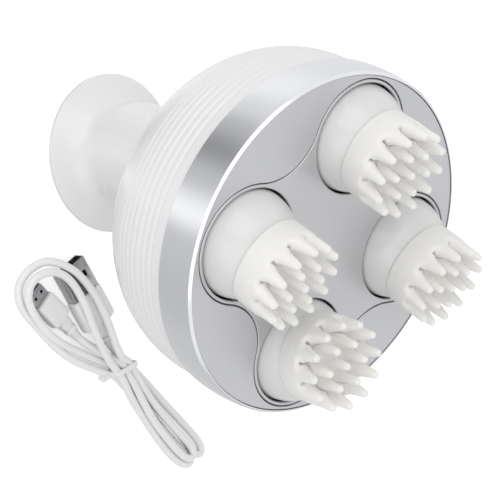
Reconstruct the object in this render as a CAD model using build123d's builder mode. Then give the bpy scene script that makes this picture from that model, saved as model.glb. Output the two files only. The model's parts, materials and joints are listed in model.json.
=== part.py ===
"""Electric scalp massager with four turning heads, and its charging lead.

The massager stands on the flat end of its handle. The origin is the centre of
that end, +Z is the handle's axis, and the body leans towards -Y. Sizes are in
millimetres and degrees. Stations on the body are heights along its own leaning
axis, counted from the bend, where the two axes cross.
"""

import os
from math import cos, hypot, pi, radians, sin, sqrt, tan

from build123d import *

# ---- driving dimensions: stance and body -----------------------------------
LEAN = 18.5  # body axis against the handle axis
BEND_HEIGHT = 16.0  # floor to the bend
ELBOW_RADIUS = 24.0  # of the axis, where the handle bends
FACE_STATION = 93.5  # bend to the front of the face plate
FACE_RADIUS = 54.4  # drives the ring, the dome, the heads' circle and the gear tray
FACE_THICKNESS = 1.5
CARRIER_THICKNESS = 1.8  # black disc behind the face plate
RUN_GAP = 0.3  # between a turning piece and a still one
FIT_GAP = 0.15  # between pieces that are put together
SHAFT_GAP = 0.05  # radial, a shaft in its bush

# ring and dome
RING_DEPTH = 13.5
RING_LIP = 0.25  # flat between the face plate and the ring's chamfer
RING_CHAMFER = 0.7
RING_TAPER = 0.5  # the ring's back edge stands this far outside its front edge
RING_BULGE = 0.45
RING_PROUD = 0.35  # the ring's lip stands this far in front of the plate
DOME_STEP = 0.7  # the dome lies this far inside the ring's back edge
DOME_SHOULDER = 68.7  # station where the straight side turns into the dome
DOME_DEPTH = 43.0  # half axis of the dome's ellipse along the body axis
WALL = 2.2
SPIGOT_INSET = 1.9  # the ring's seat, inside the dome's outer radius
SPIGOT_WALL = 1.8
SPIGOT_LENGTH = 6.0
RIB_COUNT = 7
RIB_PITCH = 2.65
RIB_FIRST = 75.2  # station of the groove nearest the ring
RIB_WIDTH = 1.3
RIB_DEPTH = 0.55
O_RING_RADIUS = 0.5
O_RING_SETBACK = 3.0  # from the ring's back edge to the middle of the O-ring
O_RING_GROOVE = (1.85, 1.5)  # twice its depth, and its length

# handle
RIM_RADIUS = 27.7
RIM_LAND = 1.6  # height of the upright edge of the rim
RIM_CHAMFER = 0.3
FLARE_REACH = 5.1  # how far the flare runs in from the rim before it turns up
FLARE_RISE = 3.0
FLARE_NECK = 5.5
WAIST_RADIUS = 17.5
WAIST_WALL = 2.0
WAIST_PARTING = 20.0  # station where the handle shell ends and the dome begins
WAIST_FILLET = 7.0
LAP_DEPTH = 3.0  # tongue of the handle inside the dome's neck
LAP_WALL = 0.9
DISH_DEPTH = 2.8  # the end cap lies this far inside the rim
DISH_LIP = 3.1  # width of the flat ring that the handle stands on
CAP_SEAT = 20.7
CAP_LEDGE = 1.2
CAP_THICKNESS = 1.8

# heads
CUP_RADIUS = 17.2
HOLE_GAP = 0.2  # radial, between a cup at its widest and the hole in the face
HOLE_CHAMFER = 0.3
HOLE_MARGIN = 2.5  # between a hole and the edge of the face
LOBE_BORDER = 1.6  # of the clover plate round each hole
CLOVER_DIP = 0.4  # the clover's edge between two heads lies this far inside their circle
CLOVER_GAP = 0.4  # groove round the clover plate
CARRIER_SETBACK = 0.5  # the carrier's holes are this much wider than the face's
PIVOT_DEPTH = 3.85  # bend of each spindle, behind the face
CUP_WALL = 1.6
CUP_TOP = 10.65  # along the head's own axis, from its bend
CUP_FLOOR_THICKNESS = 2.0
CUP_SKIRT = 3.0  # the cup reaches this far behind its bend
HUB_CLEARANCE = 0.2  # between the spindle's ball and the cup's boss
CLAW_RADIUS = 14.4
CLAW_WALL = 1.75
CLAW_ROOF = 16.3
CLAW_ROOF_THICKNESS = 1.6
CLAW_CREST = 18.2  # rim between two outer prongs
OUTER_PRONGS = 12
OUTER_TIP = 26.6
OUTER_ROOT_RADIUS = 3.0
OUTER_TIP_RADIUS = 1.0
OUTER_LEAN = 1.8  # the tips stand this far further out than the roots
INNER_PRONGS = 6
INNER_CIRCLE = 7.0
INNER_TIP = 27.0
INNER_ROOT_RADIUS = 1.9
INNER_TIP_RADIUS = 1.1
# name, place round the body axis, lean of the spindle's end, the way it leans,
# and the turn of its prongs
HEADS = (
    ("right", 0, 15.0, -59.0, -2.5),
    ("back", 90, 11.0, -66.0, 8.5),
    ("left", 180, 17.0, -47.0, 18.0),
    ("front", 270, 10.0, 118.0, 18.0),
)

# gear train, from the motor to the heads
SUN_TEETH = 43
HEAD_TEETH = 26
WHEEL_MODULE = 0.8
WHEEL_TEETH = 60
IDLER_PINION_TEETH = 12
MOTOR_MODULE = 0.5
IDLER_TEETH = 40
MOTOR_TEETH = 10
# teeth, as shares of a module
ADDENDUM = 0.95
DEDENDUM = 1.15
TOOTH_ROOT = 0.2  # a tooth's foot is sunk this deep into the rim
TOOTH_PLAY = 0.3  # a tooth is this much thinner than half the pitch
FOOT_FLARE = 0.8  # depth over which a tooth widens below the pitch circle
TOOTH_SLANT = 20  # degrees
IDLER_ANGLE = 45
STAGE_GAP = 0.8  # along the shafts, between gears of two stages
MOTOR_GEAR_WIDTH = 2.6
WHEEL_WIDTH = 2.8
SUN_WIDTH = 6.2
TRAY_FLOOR = 61.0  # station of the tray's underside
TRAY_THICKNESS = 2.5
TRAY_WALL = 1.2
TRAY_HEIGHT = 17.5
FLANGE_WIDTH = 1.1
FLANGE_THICKNESS = 2.0
GASKET_THICKNESS = 0.5
COVER_THICKNESS = 2.0
COLLAR_HEIGHT = 2.5
COLLAR_WALL = 1.6
SPINDLE_RADIUS = 3.0
SPINDLE_HUB = 5.0
STUB_RADIUS = 4.0
AXLE_RADIUS = 1.5
AXLE_SEAT = 0.5  # the blind holes of the axles stop this far from the outside
BOSS_RADIUS = 3.5
BOSS_RISE = 0.5  # the axles' bosses stand this far out of the tray's floor
BUSH_WALL = 1.6
BUSH_RIM = 1.0  # the bushes' flanges are this much wider
BUSH_FLANGE = 0.8
HUB_RADIUS = 4.0  # of the drive gear
GEAR_HUB_WALL = 1.15  # of the output gears, round the spindle
WEB_THICKNESS = 2.4
SUN_RIM = 3.0
GEAR_START = 0.7  # the motor's gears start this far above the tray's floor
PINION_SHOULDER = 0.4  # the motor's shaft ends this far beyond its pinion
SHAFT_BURIED = 5.0  # length of the motor's shaft inside the motor
SEAL_WALL = 2.5
SEAL_HEIGHT = 2.2
SCREW_RADIUS = 1.0
SCREW_HEAD_RADIUS = 2.0
SCREW_HEAD = 1.3
SCREW_LENGTH = 10.0
SCREW_BOSS_WALL = 1.6
SCREW_INSET = 2.4  # from the tray's wall to the middle of a screw
SCREW_ANGLE = 67.0  # the screws stand between the idler and a head
POST_INSET = 4.5  # the carrier's posts stand this far inside the heads' circle
POST_RADIUS = 3.0

# power
MOTOR_RADIUS = 10.2
MOTOR_FLATS = 15.4
MOTOR_LENGTH = 25.1
MOTOR_BOSS_RADIUS = 3.1
MOTOR_BOSS = 1.5
MOTOR_SHAFT_RADIUS = 1.0
MOTOR_SCREW_SPACING = 12.0
MOTOR_SCREW_LENGTH = 4.5
BATTERY_RADIUS = 9.1
BATTERY_LENGTH = 50.0
BATTERY_START = 8.0
BATTERY_ROOM = 0.4  # between the cell and the waist
CONTACT_RADIUS = 3.0
CONTACT_HEIGHT = 0.8
CRADLE_MOUTH = 1.5  # its opening towards the motor, as a share of its inner radius
CRADLE_WALL = 1.55
CRADLE_START = 31.0
BUTTON_RADIUS = 7.0
BUTTON_TRAVEL = 0.8
BUTTON_SINK = 1.2  # the button's face stands this far out of the end cap
BUTTON_CHAMFER = 0.4
BUTTON_FLANGE = 1.0
BUTTON_LIP = 1.3
DIMPLE_RADIUS = 16.0
DIMPLE_DEPTH = 0.5
LIGHT_INNER = 1.1  # light ring round the button, from the button's edge
LIGHT_WIDTH = 1.0
LIGHT_DEPTH = 0.7
PLUNGER = 1.0
PLUNGER_RADIUS = 1.7
SWITCH_SIZE = 6.0
BOARD_HEIGHT = 10.4
BOARD_ROOM = 0.9  # between the board and the waist
BOARD_THICKNESS = 1.6
CHIP_HEIGHT = 1.0
CHIPS = ((-4, 3, 5, 4), (5, -3, 6, 3))  # place and size of each chip on the board
PILLAR_RADIUS = 1.7
PILLAR_INSET = 0.5  # from the board's edge
PILLAR_ANGLE = 30
PORT_OFFSET = 11.8
PORT_WIDTH = 7.7
PORT_THICKNESS = 3.0
PORT_WALL = 0.35
PORT_SINK = 0.6  # the socket's mouth lies this far inside the cap
PORT_FLOOR = 1.2
PORT_LID = 0.9
PORT_LID_BORDER = 1.5
PORT_LID_SHIFT = 0.6  # the lid reaches this much further on its hinge's side
PORT_PLUG = 1.15

# charging lead and its plugs, lying on the floor
LEAD_DIAMETER = 2.8
LOOP_HEIGHT = 9.4
PLUG_CLEARANCE = 0.3
PLUG_ROOM = 4.0  # the space under the strands reaches this far beyond a plug
TIE_PLACE = (5.1, -75.6)
TIE_HEADING = -67.0
TIE_STRANDS = 3  # side by side, in two layers
TIE_SLACK = 1.2
TIE_WIDTH = 2.5
TIE_THICKNESS = 0.6
USB_TIP = (-20.4, -39.5)
USB_HEADING = -53.6
USB_SHELL = (12.0, 12.0, 4.5)  # length, width, height
USB_GRIP = (17.0, 13.5, 6.2)
USB_RELIEF = 7.0
MICRO_TIP = (-34.4, -48.1)
MICRO_HEADING = -39.0
MICRO_SHELL = (5.2, 6.9, 1.8)
MICRO_GRIP = (14.0, 8.4, 5.0)
MICRO_RELIEF = 6.0
RELIEF_ROOT = 1.1  # wall round the lead where the relief starts
RELIEF_TIP = 0.5
GRIP_ROUNDING = 0.22  # of the overmoulds' long edges, as a share of their height
PLUG_WALL = 0.35
TONGUE_SETBACK = 1.0
TONGUE_SHARE = 0.45  # thickness of the contacts' tongue, as a share of the space
WINDOW_PLACE = 0.45  # middle of the windows, as a share of the shell's length
WINDOW_LENGTH = 0.2  # as a share of the shell's length
WINDOW_WIDTH = 0.16  # as a share of the shell's width

# ---- places worked out from them -------------------------------------------
body = Plane(
    origin=(0, 0, BEND_HEIGHT),
    x_dir=(1, 0, 0),
    z_dir=(0, -sin(radians(LEAN)), cos(radians(LEAN))),
)
# profiles of turned body pieces: x is the radius, y the station
body_half = Plane(origin=body.origin, x_dir=body.x_dir, z_dir=-body.y_dir)
body_axis = Axis(body.origin, body.z_dir)
elbow_run = ELBOW_RADIUS * tan(radians(LEAN / 2))
elbow_start = BEND_HEIGHT - elbow_run
elbow_axis = Axis((0, -ELBOW_RADIUS, elbow_start), (1, 0, 0))

face_seat = FACE_RADIUS + FIT_GAP
ring_front_radius = face_seat + RING_LIP + RING_CHAMFER
ring_back_radius = ring_front_radius + RING_TAPER
dome_outer_radius = ring_back_radius - DOME_STEP
spigot_radius = dome_outer_radius - SPIGOT_INSET
ring_inside = spigot_radius + FIT_GAP
ring_back = FACE_STATION - RING_DEPTH
ring_lip = FACE_STATION + RING_PROUD
waist_inside = WAIST_RADIUS - WAIST_WALL
face_back = FACE_STATION - FACE_THICKNESS
carrier_back = face_back - CARRIER_THICKNESS
pivot_station = FACE_STATION - PIVOT_DEPTH
stub_length = CUP_TOP - CUP_FLOOR_THICKNESS

head_hole = CUP_RADIUS + HOLE_GAP
head_circle = FACE_RADIUS - HOLE_MARGIN - head_hole
lobe_radius = head_hole + LOBE_BORDER
clover_waist = head_circle - CLOVER_DIP
head_module = 2 * head_circle / (SUN_TEETH + HEAD_TEETH)

flange_radius = spigot_radius - SPIGOT_WALL - RUN_GAP
tray_radius = flange_radius - FLANGE_WIDTH
screw_circle = tray_radius - TRAY_WALL - SCREW_INSET
post_circle = head_circle - POST_INSET
gear_floor = TRAY_FLOOR + TRAY_THICKNESS
tray_top = TRAY_FLOOR + TRAY_HEIGHT
cover_low = tray_top + GASKET_THICKNESS
cover_top = cover_low + COVER_THICKNESS
motor_gear_low = gear_floor + GEAR_START
wheel_low = motor_gear_low + MOTOR_GEAR_WIDTH + STAGE_GAP
sun_low = wheel_low + WHEEL_WIDTH + STAGE_GAP
sun_top = sun_low + SUN_WIDTH
idler_circle = (WHEEL_TEETH + IDLER_PINION_TEETH) * WHEEL_MODULE / 2
motor_circle = idler_circle - (IDLER_TEETH + MOTOR_TEETH) * MOTOR_MODULE / 2
bush_radius = SPINDLE_RADIUS + SHAFT_GAP + BUSH_WALL
bush_rim = bush_radius + BUSH_RIM
seal_radius = SPINDLE_RADIUS + SHAFT_GAP + SEAL_WALL

os.makedirs("parts", exist_ok=True)


def save(shape, name):
    """Label a finished piece and write its STEP file."""
    shape.label = name
    export_step(shape, f"parts/{name}.step")


def station(height):
    """The plane across the body axis at a height above the bend."""
    return body.offset(height)


def around(radius, angle, height):
    """The same plane, moved to a radius and an angle round the body axis."""
    turn = radians(angle)
    place = station(height)
    spot = place.from_local_coords((radius * cos(turn), radius * sin(turn), 0))
    return Plane(origin=spot, x_dir=body.x_dir, z_dir=body.z_dir)


def spun(place, angle):
    """The same plane, spun about its own z axis."""
    turn = radians(angle)
    x_dir = place.x_dir * cos(turn) + place.y_dir * sin(turn)
    return Plane(origin=place.origin, x_dir=x_dir, z_dir=place.z_dir)


def half_plane(place):
    """Plane for profiles turned about the z axis of a place."""
    return Plane(origin=place.origin, x_dir=place.x_dir, z_dir=-place.y_dir)


def dome_radius(height, inset=0.0):
    """Radius of the dome at a station, or of its inner wall."""
    drop = max(0.0, DOME_SHOULDER - height)
    return (dome_outer_radius - inset) * sqrt(1 - (drop / (DOME_DEPTH - inset)) ** 2)


def dome_station(radius, inset=0.0):
    """Station at which the dome, or its inner wall, has a given radius."""
    share = radius / (dome_outer_radius - inset)
    return DOME_SHOULDER - (DOME_DEPTH - inset) * sqrt(1 - share**2)


# ---- handle ----------------------------------------------------------------
cap_top = DISH_DEPTH + CAP_THICKNESS
cap_bore = CAP_SEAT - CAP_LEDGE


def neck(radius, top, mode):
    """Elbow and straight neck of one radius, up to a station."""
    with BuildSketch(Plane.XY.offset(elbow_start)) as root:
        Circle(radius)
    revolve(root.sketch, axis=elbow_axis, revolution_arc=LEAN, mode=mode)
    with BuildSketch(station(elbow_run)) as straight:
        Circle(radius)
    extrude(straight.sketch, amount=top - elbow_run, mode=mode)


with BuildPart() as handle_shell:
    with BuildSketch(Plane.XZ):
        with BuildLine():
            Polyline(
                (0, elbow_start),
                (0, 0),
                (RIM_RADIUS - RIM_CHAMFER, 0),
                (RIM_RADIUS, RIM_CHAMFER),
                (RIM_RADIUS, RIM_LAND),
            )
            Bezier(
                (RIM_RADIUS, RIM_LAND),
                (RIM_RADIUS - FLARE_REACH, RIM_LAND + FLARE_RISE),
                (WAIST_RADIUS, elbow_start - FLARE_NECK),
                (WAIST_RADIUS, elbow_start),
            )
            Line((WAIST_RADIUS, elbow_start), (0, elbow_start))
        make_face()
    revolve(axis=Axis.Z)
    neck(WAIST_RADIUS, WAIST_PARTING, Mode.ADD)
    # tongue that laps inside the dome's neck
    with BuildSketch(station(WAIST_PARTING)):
        Circle(waist_inside + LAP_WALL)
    extrude(amount=LAP_DEPTH)
    # hollow inside, with the dished mouth and the seat of the end cap
    with BuildSketch(Plane.XZ):
        with BuildLine():
            Polyline(
                (0, elbow_start),
                (0, 0),
                (RIM_RADIUS - DISH_LIP, 0),
                (CAP_SEAT, DISH_DEPTH),
                (CAP_SEAT, cap_top),
                (cap_bore, cap_top),
            )
            Bezier(
                (cap_bore, cap_top),
                (cap_bore - FLARE_REACH / 2, cap_top + FLARE_RISE / 2),
                (waist_inside, elbow_start - FLARE_NECK),
                (waist_inside, elbow_start),
            )
            Line((waist_inside, elbow_start), (0, elbow_start))
        make_face()
    revolve(axis=Axis.Z, mode=Mode.SUBTRACT)
    neck(waist_inside, WAIST_PARTING + LAP_DEPTH, Mode.SUBTRACT)
save(handle_shell.part, "handle_shell")

light_radius = BUTTON_RADIUS + LIGHT_INNER
board_radius = waist_inside - BOARD_ROOM
pillar_circle = board_radius - PILLAR_RADIUS - PILLAR_INSET
with BuildPart() as handle_end_cap:
    with BuildSketch(Plane.XY.offset(DISH_DEPTH)):
        Circle(CAP_SEAT - FIT_GAP)
        Circle(BUTTON_RADIUS + FIT_GAP, mode=Mode.SUBTRACT)
        with Locations((0, PORT_OFFSET)):
            Rectangle(PORT_WIDTH + 2 * FIT_GAP, PORT_THICKNESS + 2 * FIT_GAP, mode=Mode.SUBTRACT)
    extrude(amount=CAP_THICKNESS)
    # three pillars carry the control board
    with BuildSketch(Plane.XY.offset(cap_top)):
        with PolarLocations(pillar_circle, 3, start_angle=PILLAR_ANGLE):
            Circle(PILLAR_RADIUS)
    extrude(amount=BOARD_HEIGHT - cap_top)
    # groove of the light ring
    with BuildSketch(Plane.XY.offset(DISH_DEPTH)):
        Circle(light_radius + LIGHT_WIDTH)
        Circle(light_radius, mode=Mode.SUBTRACT)
    extrude(amount=LIGHT_DEPTH, mode=Mode.SUBTRACT)
save(handle_end_cap.part, "handle_end_cap")

with BuildPart() as light_ring:
    with BuildSketch(Plane.XY.offset(DISH_DEPTH)):
        Circle(light_radius + LIGHT_WIDTH)
        Circle(light_radius, mode=Mode.SUBTRACT)
    extrude(amount=LIGHT_DEPTH)
save(light_ring.part, "light_ring")

button_face = DISH_DEPTH - BUTTON_SINK
button_flange_low = cap_top + SHAFT_GAP
button_top = button_flange_low + BUTTON_FLANGE
with BuildPart() as power_button:
    with BuildSketch(Plane.XY.offset(button_face)):
        Circle(BUTTON_RADIUS)
    extrude(amount=button_flange_low - button_face)
    chamfer(power_button.edges().group_by(Axis.Z)[0], length=BUTTON_CHAMFER)
    with BuildSketch(Plane.XY.offset(button_flange_low)):
        Circle(BUTTON_RADIUS + BUTTON_LIP)
    extrude(amount=BUTTON_FLANGE)
    # shallow dimple for the fingertip
    with Locations((0, 0, button_face + DIMPLE_DEPTH - DIMPLE_RADIUS)):
        Sphere(DIMPLE_RADIUS, mode=Mode.SUBTRACT)
save(power_button.part, "power_button")

plunger_low = button_top + BUTTON_TRAVEL + SHAFT_GAP
with BuildPart() as tact_switch:
    with BuildSketch(Plane.XY.offset(plunger_low)):
        Circle(PLUNGER_RADIUS)
    extrude(amount=PLUNGER)
    with BuildSketch(Plane.XY.offset(plunger_low + PLUNGER)):
        Rectangle(SWITCH_SIZE, SWITCH_SIZE)
    extrude(amount=BOARD_HEIGHT - plunger_low - PLUNGER)
save(tact_switch.part, "tact_switch")

with BuildPart() as control_board:
    with BuildSketch(Plane.XY.offset(BOARD_HEIGHT)):
        Circle(board_radius)
    extrude(amount=BOARD_THICKNESS)
    # chips on its upper side
    with BuildSketch(Plane.XY.offset(BOARD_HEIGHT + BOARD_THICKNESS)):
        for x, y, width, depth in CHIPS:
            with Locations((x, y)):
                Rectangle(width, depth)
    extrude(amount=CHIP_HEIGHT)
save(control_board.part, "control_board")

port_mouth = DISH_DEPTH + PORT_SINK
with BuildPart() as charge_socket:
    with BuildSketch(Plane.XY.offset(port_mouth)):
        with Locations((0, PORT_OFFSET)):
            Rectangle(PORT_WIDTH, PORT_THICKNESS)
    extrude(amount=BOARD_HEIGHT - port_mouth)
    with BuildSketch(Plane.XY.offset(port_mouth)):
        with Locations((0, PORT_OFFSET)):
            Rectangle(
                PORT_WIDTH - 2 * PORT_WALL,
                PORT_THICKNESS - 2 * PORT_WALL,
                mode=Mode.ADD,
            )
    extrude(amount=BOARD_HEIGHT - port_mouth - PORT_FLOOR, mode=Mode.SUBTRACT)
save(charge_socket.part, "charge_socket")

port_lid_low = DISH_DEPTH - PORT_LID - SHAFT_GAP
with BuildPart() as port_cover:
    with BuildSketch(Plane.XY.offset(port_lid_low)):
        with Locations((0, PORT_OFFSET + PORT_LID_SHIFT)):
            RectangleRounded(
                PORT_WIDTH + 2 * PORT_LID_BORDER,
                PORT_THICKNESS + 2 * PORT_LID_BORDER,
                PORT_LID_BORDER,
            )
    extrude(amount=PORT_LID)
    # plug that closes the socket's mouth
    with BuildSketch(Plane.XY.offset(port_lid_low + PORT_LID)):
        with Locations((0, PORT_OFFSET)):
            Rectangle(PORT_WIDTH - 4 * PORT_WALL, PORT_THICKNESS - 4 * PORT_WALL)
    extrude(amount=PORT_PLUG)
save(port_cover.part, "port_cover")

# ---- dome ------------------------------------------------------------------
ledge_top = tray_top - FLANGE_THICKNESS
o_ring_station = ring_back + O_RING_SETBACK


def dome_section(inset, waist, top, round_off):
    """Half section of the dome over its waist, rounded where they meet."""
    wide = dome_outer_radius - inset
    deep = DOME_DEPTH - inset
    with BuildSketch(body_half) as section:
        with BuildLine():
            Line((0, top), (wide, top))
            Line((wide, top), (wide, DOME_SHOULDER))
            EllipticalCenterArc((0, DOME_SHOULDER), wide, deep, 270, arc_size=90)
            Line((0, DOME_SHOULDER - deep), (0, top))
        make_face()
        with Locations((waist / 2, (WAIST_PARTING + DOME_SHOULDER) / 2)):
            Rectangle(waist, DOME_SHOULDER - WAIST_PARTING)
        meeting = Vertex(waist, dome_station(waist, inset), 0)
        corner = section.vertices().sort_by_distance(meeting)[0]
        fillet(corner, radius=round_off)
    return section.sketch


dome_outside = dome_section(0, WAIST_RADIUS, ring_back, WAIST_FILLET)
dome_inside = dome_section(WALL, waist_inside, ledge_top - FLANGE_THICKNESS, WAIST_FILLET + WALL)

with BuildPart() as dome_shell:
    revolve(dome_outside, axis=body_axis)
    with BuildSketch(station(ring_back)):
        Circle(spigot_radius)
    extrude(amount=SPIGOT_LENGTH)
    revolve(dome_inside, axis=body_axis, mode=Mode.SUBTRACT)
    # ledge for the gear tray, and the open spigot above it
    with BuildSketch(station(ledge_top - FLANGE_THICKNESS)):
        Circle(tray_radius + FIT_GAP)
    extrude(amount=FLANGE_THICKNESS, mode=Mode.SUBTRACT)
    with BuildSketch(station(ledge_top)):
        Circle(spigot_radius - SPIGOT_WALL)
    extrude(amount=ring_back + SPIGOT_LENGTH - ledge_top, mode=Mode.SUBTRACT)
    # rebate round the handle's tongue
    with BuildSketch(station(WAIST_PARTING)):
        Circle(waist_inside + LAP_WALL + SHAFT_GAP)
    extrude(amount=LAP_DEPTH + SHAFT_GAP, mode=Mode.SUBTRACT)
    # seat of the O-ring on the spigot
    with BuildSketch(body_half):
        with Locations((spigot_radius, o_ring_station)):
            Rectangle(*O_RING_GROOVE)
    revolve(axis=body_axis, mode=Mode.SUBTRACT)
    # grip grooves behind the ring
    with BuildSketch(body_half):
        for index in range(RIB_COUNT):
            height = RIB_FIRST - index * RIB_PITCH
            radius = dome_radius(height)
            Polygon(
                (radius + RIB_DEPTH, height + RIB_WIDTH),
                (radius - RIB_DEPTH, height),
                (radius + RIB_DEPTH, height - RIB_WIDTH),
            )
    revolve(axis=body_axis, mode=Mode.SUBTRACT)
save(dome_shell.part, "dome_shell")

with BuildPart() as body_seal:
    with BuildSketch(body_half):
        with Locations((ring_inside - SHAFT_GAP - O_RING_RADIUS, o_ring_station)):
            Circle(O_RING_RADIUS - SHAFT_GAP)
    revolve(axis=body_axis)
save(body_seal.part, "body_seal")

# ---- ring and face ---------------------------------------------------------
with BuildPart() as silver_ring:
    with BuildSketch(body_half):
        with BuildLine():
            Polyline(
                (ring_front_radius, ring_lip - RING_CHAMFER),
                (ring_front_radius - RING_CHAMFER, ring_lip),
                (face_seat, ring_lip),
                (face_seat, carrier_back),
                (ring_inside, carrier_back),
                (ring_inside, ring_back),
                (ring_back_radius - RIM_CHAMFER, ring_back),
                (ring_back_radius, ring_back + RIM_CHAMFER),
            )
            ThreePointArc(
                (ring_back_radius, ring_back + RIM_CHAMFER),
                (
                    (ring_back_radius + ring_front_radius) / 2 + RING_BULGE,
                    (ring_back + ring_lip) / 2,
                ),
                (ring_front_radius, ring_lip - RING_CHAMFER),
            )
        make_face()
    revolve(axis=body_axis)
save(silver_ring.part, "silver_ring")

# radius of the hollow arc between two lobes, which touches both of them
diagonal = sqrt(2) * head_circle
excess = diagonal * clover_waist + lobe_radius**2 - clover_waist**2 - head_circle**2
clover_arc = excess / (2 * clover_waist - diagonal - 2 * lobe_radius)


def turned(point, angle):
    """A sketch point turned about the centre."""
    return Vector(*point).rotate(Axis.Z, angle)


def clover(plane, inset):
    """Four round lobes joined by hollow arcs, drawn in by an inset."""
    lobe = lobe_radius - inset
    corner = (clover_waist + clover_arc) / sqrt(2)
    reach = hypot(corner - head_circle, corner)
    touch_x = head_circle + lobe * (corner - head_circle) / reach
    touch_y = lobe * corner / reach
    hollow = ((clover_waist - inset) / sqrt(2),) * 2
    with BuildSketch(plane) as outline:
        with BuildLine():
            for angle in (0, 90, 180, 270):
                start = turned((touch_x, -touch_y), angle)
                end = turned((touch_x, touch_y), angle)
                ThreePointArc(start, turned((head_circle + lobe, 0), angle), end)
                following = turned((touch_x, -touch_y), angle + 90)
                ThreePointArc(end, turned(hollow, angle), following)
        make_face()
    return outline.sketch


with BuildPart() as trim_plate:
    with BuildSketch(station(face_back)):
        Circle(FACE_RADIUS)
    extrude(amount=FACE_THICKNESS)
    extrude(clover(station(face_back), 0), amount=FACE_THICKNESS, mode=Mode.SUBTRACT)
save(trim_plate.part, "trim_plate")

with BuildPart() as clover_plate:
    extrude(clover(station(face_back), CLOVER_GAP), amount=FACE_THICKNESS)
    with BuildSketch(station(face_back)):
        with PolarLocations(head_circle, len(HEADS)):
            Circle(head_hole)
    extrude(amount=FACE_THICKNESS, mode=Mode.SUBTRACT)
    hole_edges = clover_plate.edges().filter_by(GeomType.CIRCLE)
    front_holes = [
        edge
        for edge in hole_edges
        if abs(edge.radius - head_hole) < 1e-3
        and abs(body.to_local_coords(edge.arc_center).Z - FACE_STATION) < 1e-3
    ]
    chamfer(front_holes, length=HOLE_CHAMFER)
save(clover_plate.part, "clover_plate")

with BuildPart() as face_carrier:
    with BuildSketch(station(carrier_back)):
        Circle(FACE_RADIUS)
        with PolarLocations(head_circle, len(HEADS)):
            Circle(head_hole + CARRIER_SETBACK, mode=Mode.SUBTRACT)
    extrude(amount=CARRIER_THICKNESS)
    # posts that stand on the gearbox cover
    with BuildSketch(station(cover_top)):
        with PolarLocations(post_circle, 4, start_angle=IDLER_ANGLE):
            Circle(POST_RADIUS)
    extrude(amount=carrier_back - cover_top)
save(face_carrier.part, "face_carrier")

# ---- gearbox ---------------------------------------------------------------
motor_screw_places = [(0, MOTOR_SCREW_SPACING / 2), (0, -MOTOR_SCREW_SPACING / 2)]
motor_place = spun(around(motor_circle, IDLER_ANGLE, TRAY_FLOOR), IDLER_ANGLE)
axle_places = (around(0, 0, 0), around(idler_circle, IDLER_ANGLE, 0))
spindle_places = [around(head_circle, angle, 0) for _, angle, *_ in HEADS]
screw_places = [around(screw_circle, SCREW_ANGLE + 90 * quarter, 0) for quarter in range(4)]


def bars(places, radius, low, high, mode=Mode.ADD):
    """Round bars, or holes, along the body axis between two stations."""
    for place in places:
        with BuildSketch(place.offset(low)) as section:
            Circle(radius)
        extrude(section.sketch, amount=high - low, mode=mode)


with BuildPart() as gearbox_base:
    with BuildSketch(station(TRAY_FLOOR)):
        Circle(tray_radius)
    extrude(amount=TRAY_HEIGHT)
    with BuildSketch(station(ledge_top)):
        Circle(flange_radius)
    extrude(amount=FLANGE_THICKNESS)
    with BuildSketch(station(gear_floor)):
        Circle(tray_radius - TRAY_WALL)
    extrude(amount=tray_top - gear_floor, mode=Mode.SUBTRACT)
    bars(screw_places, SCREW_RADIUS + SCREW_BOSS_WALL, TRAY_FLOOR, tray_top)
    bars(axle_places, BOSS_RADIUS, TRAY_FLOOR, gear_floor + BOSS_RISE)
    # bores for the screws, axles, bushes and the motor's nose
    bars(screw_places, SCREW_RADIUS + SHAFT_GAP, tray_top - SCREW_LENGTH, tray_top, Mode.SUBTRACT)
    bars(axle_places, AXLE_RADIUS + SHAFT_GAP, TRAY_FLOOR + AXLE_SEAT, tray_top, Mode.SUBTRACT)
    bars(spindle_places, bush_radius + SHAFT_GAP, TRAY_FLOOR, tray_top, Mode.SUBTRACT)
    with BuildSketch(motor_place):
        Circle(MOTOR_BOSS_RADIUS + SHAFT_GAP)
        with Locations(*motor_screw_places):
            Circle(SCREW_RADIUS + SHAFT_GAP)
    extrude(amount=TRAY_THICKNESS, mode=Mode.SUBTRACT)
save(gearbox_base.part, "gearbox_base")

with BuildPart() as gear_gasket:
    with BuildSketch(station(tray_top)):
        Circle(flange_radius)
        Circle(tray_radius - TRAY_WALL, mode=Mode.SUBTRACT)
    extrude(amount=GASKET_THICKNESS)
save(gear_gasket.part, "gear_gasket")

collar_inside = seal_radius + SHAFT_GAP
with BuildPart() as gearbox_cover:
    with BuildSketch(station(cover_low)):
        Circle(flange_radius)
    extrude(amount=COVER_THICKNESS)
    bars(spindle_places, collar_inside + COLLAR_WALL, cover_low, cover_top + COLLAR_HEIGHT)
    bars(axle_places, BOSS_RADIUS, sun_top + RUN_GAP, cover_low)
    bars(spindle_places, collar_inside, cover_top, cover_top + COLLAR_HEIGHT, Mode.SUBTRACT)
    bars(spindle_places, bush_radius + SHAFT_GAP, cover_low, cover_top, Mode.SUBTRACT)
    bars(axle_places, AXLE_RADIUS + SHAFT_GAP, sun_top, cover_top - AXLE_SEAT, Mode.SUBTRACT)
    bars(screw_places, SCREW_RADIUS + FIT_GAP, cover_low, cover_top, Mode.SUBTRACT)
save(gearbox_cover.part, "gearbox_cover")

with BuildPart() as gearbox_screws:
    bars(screw_places, SCREW_RADIUS, cover_top - SCREW_LENGTH, cover_top)
    bars(screw_places, SCREW_HEAD_RADIUS, cover_top, cover_top + SCREW_HEAD)
save(gearbox_screws.part, "gearbox_screws")

for name, place in zip(("centre_axle", "idler_axle"), axle_places):
    with BuildPart() as axle:
        bars([place], AXLE_RADIUS, TRAY_FLOOR + AXLE_SEAT, cover_top - AXLE_SEAT)
    save(axle.part, name)


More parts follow.
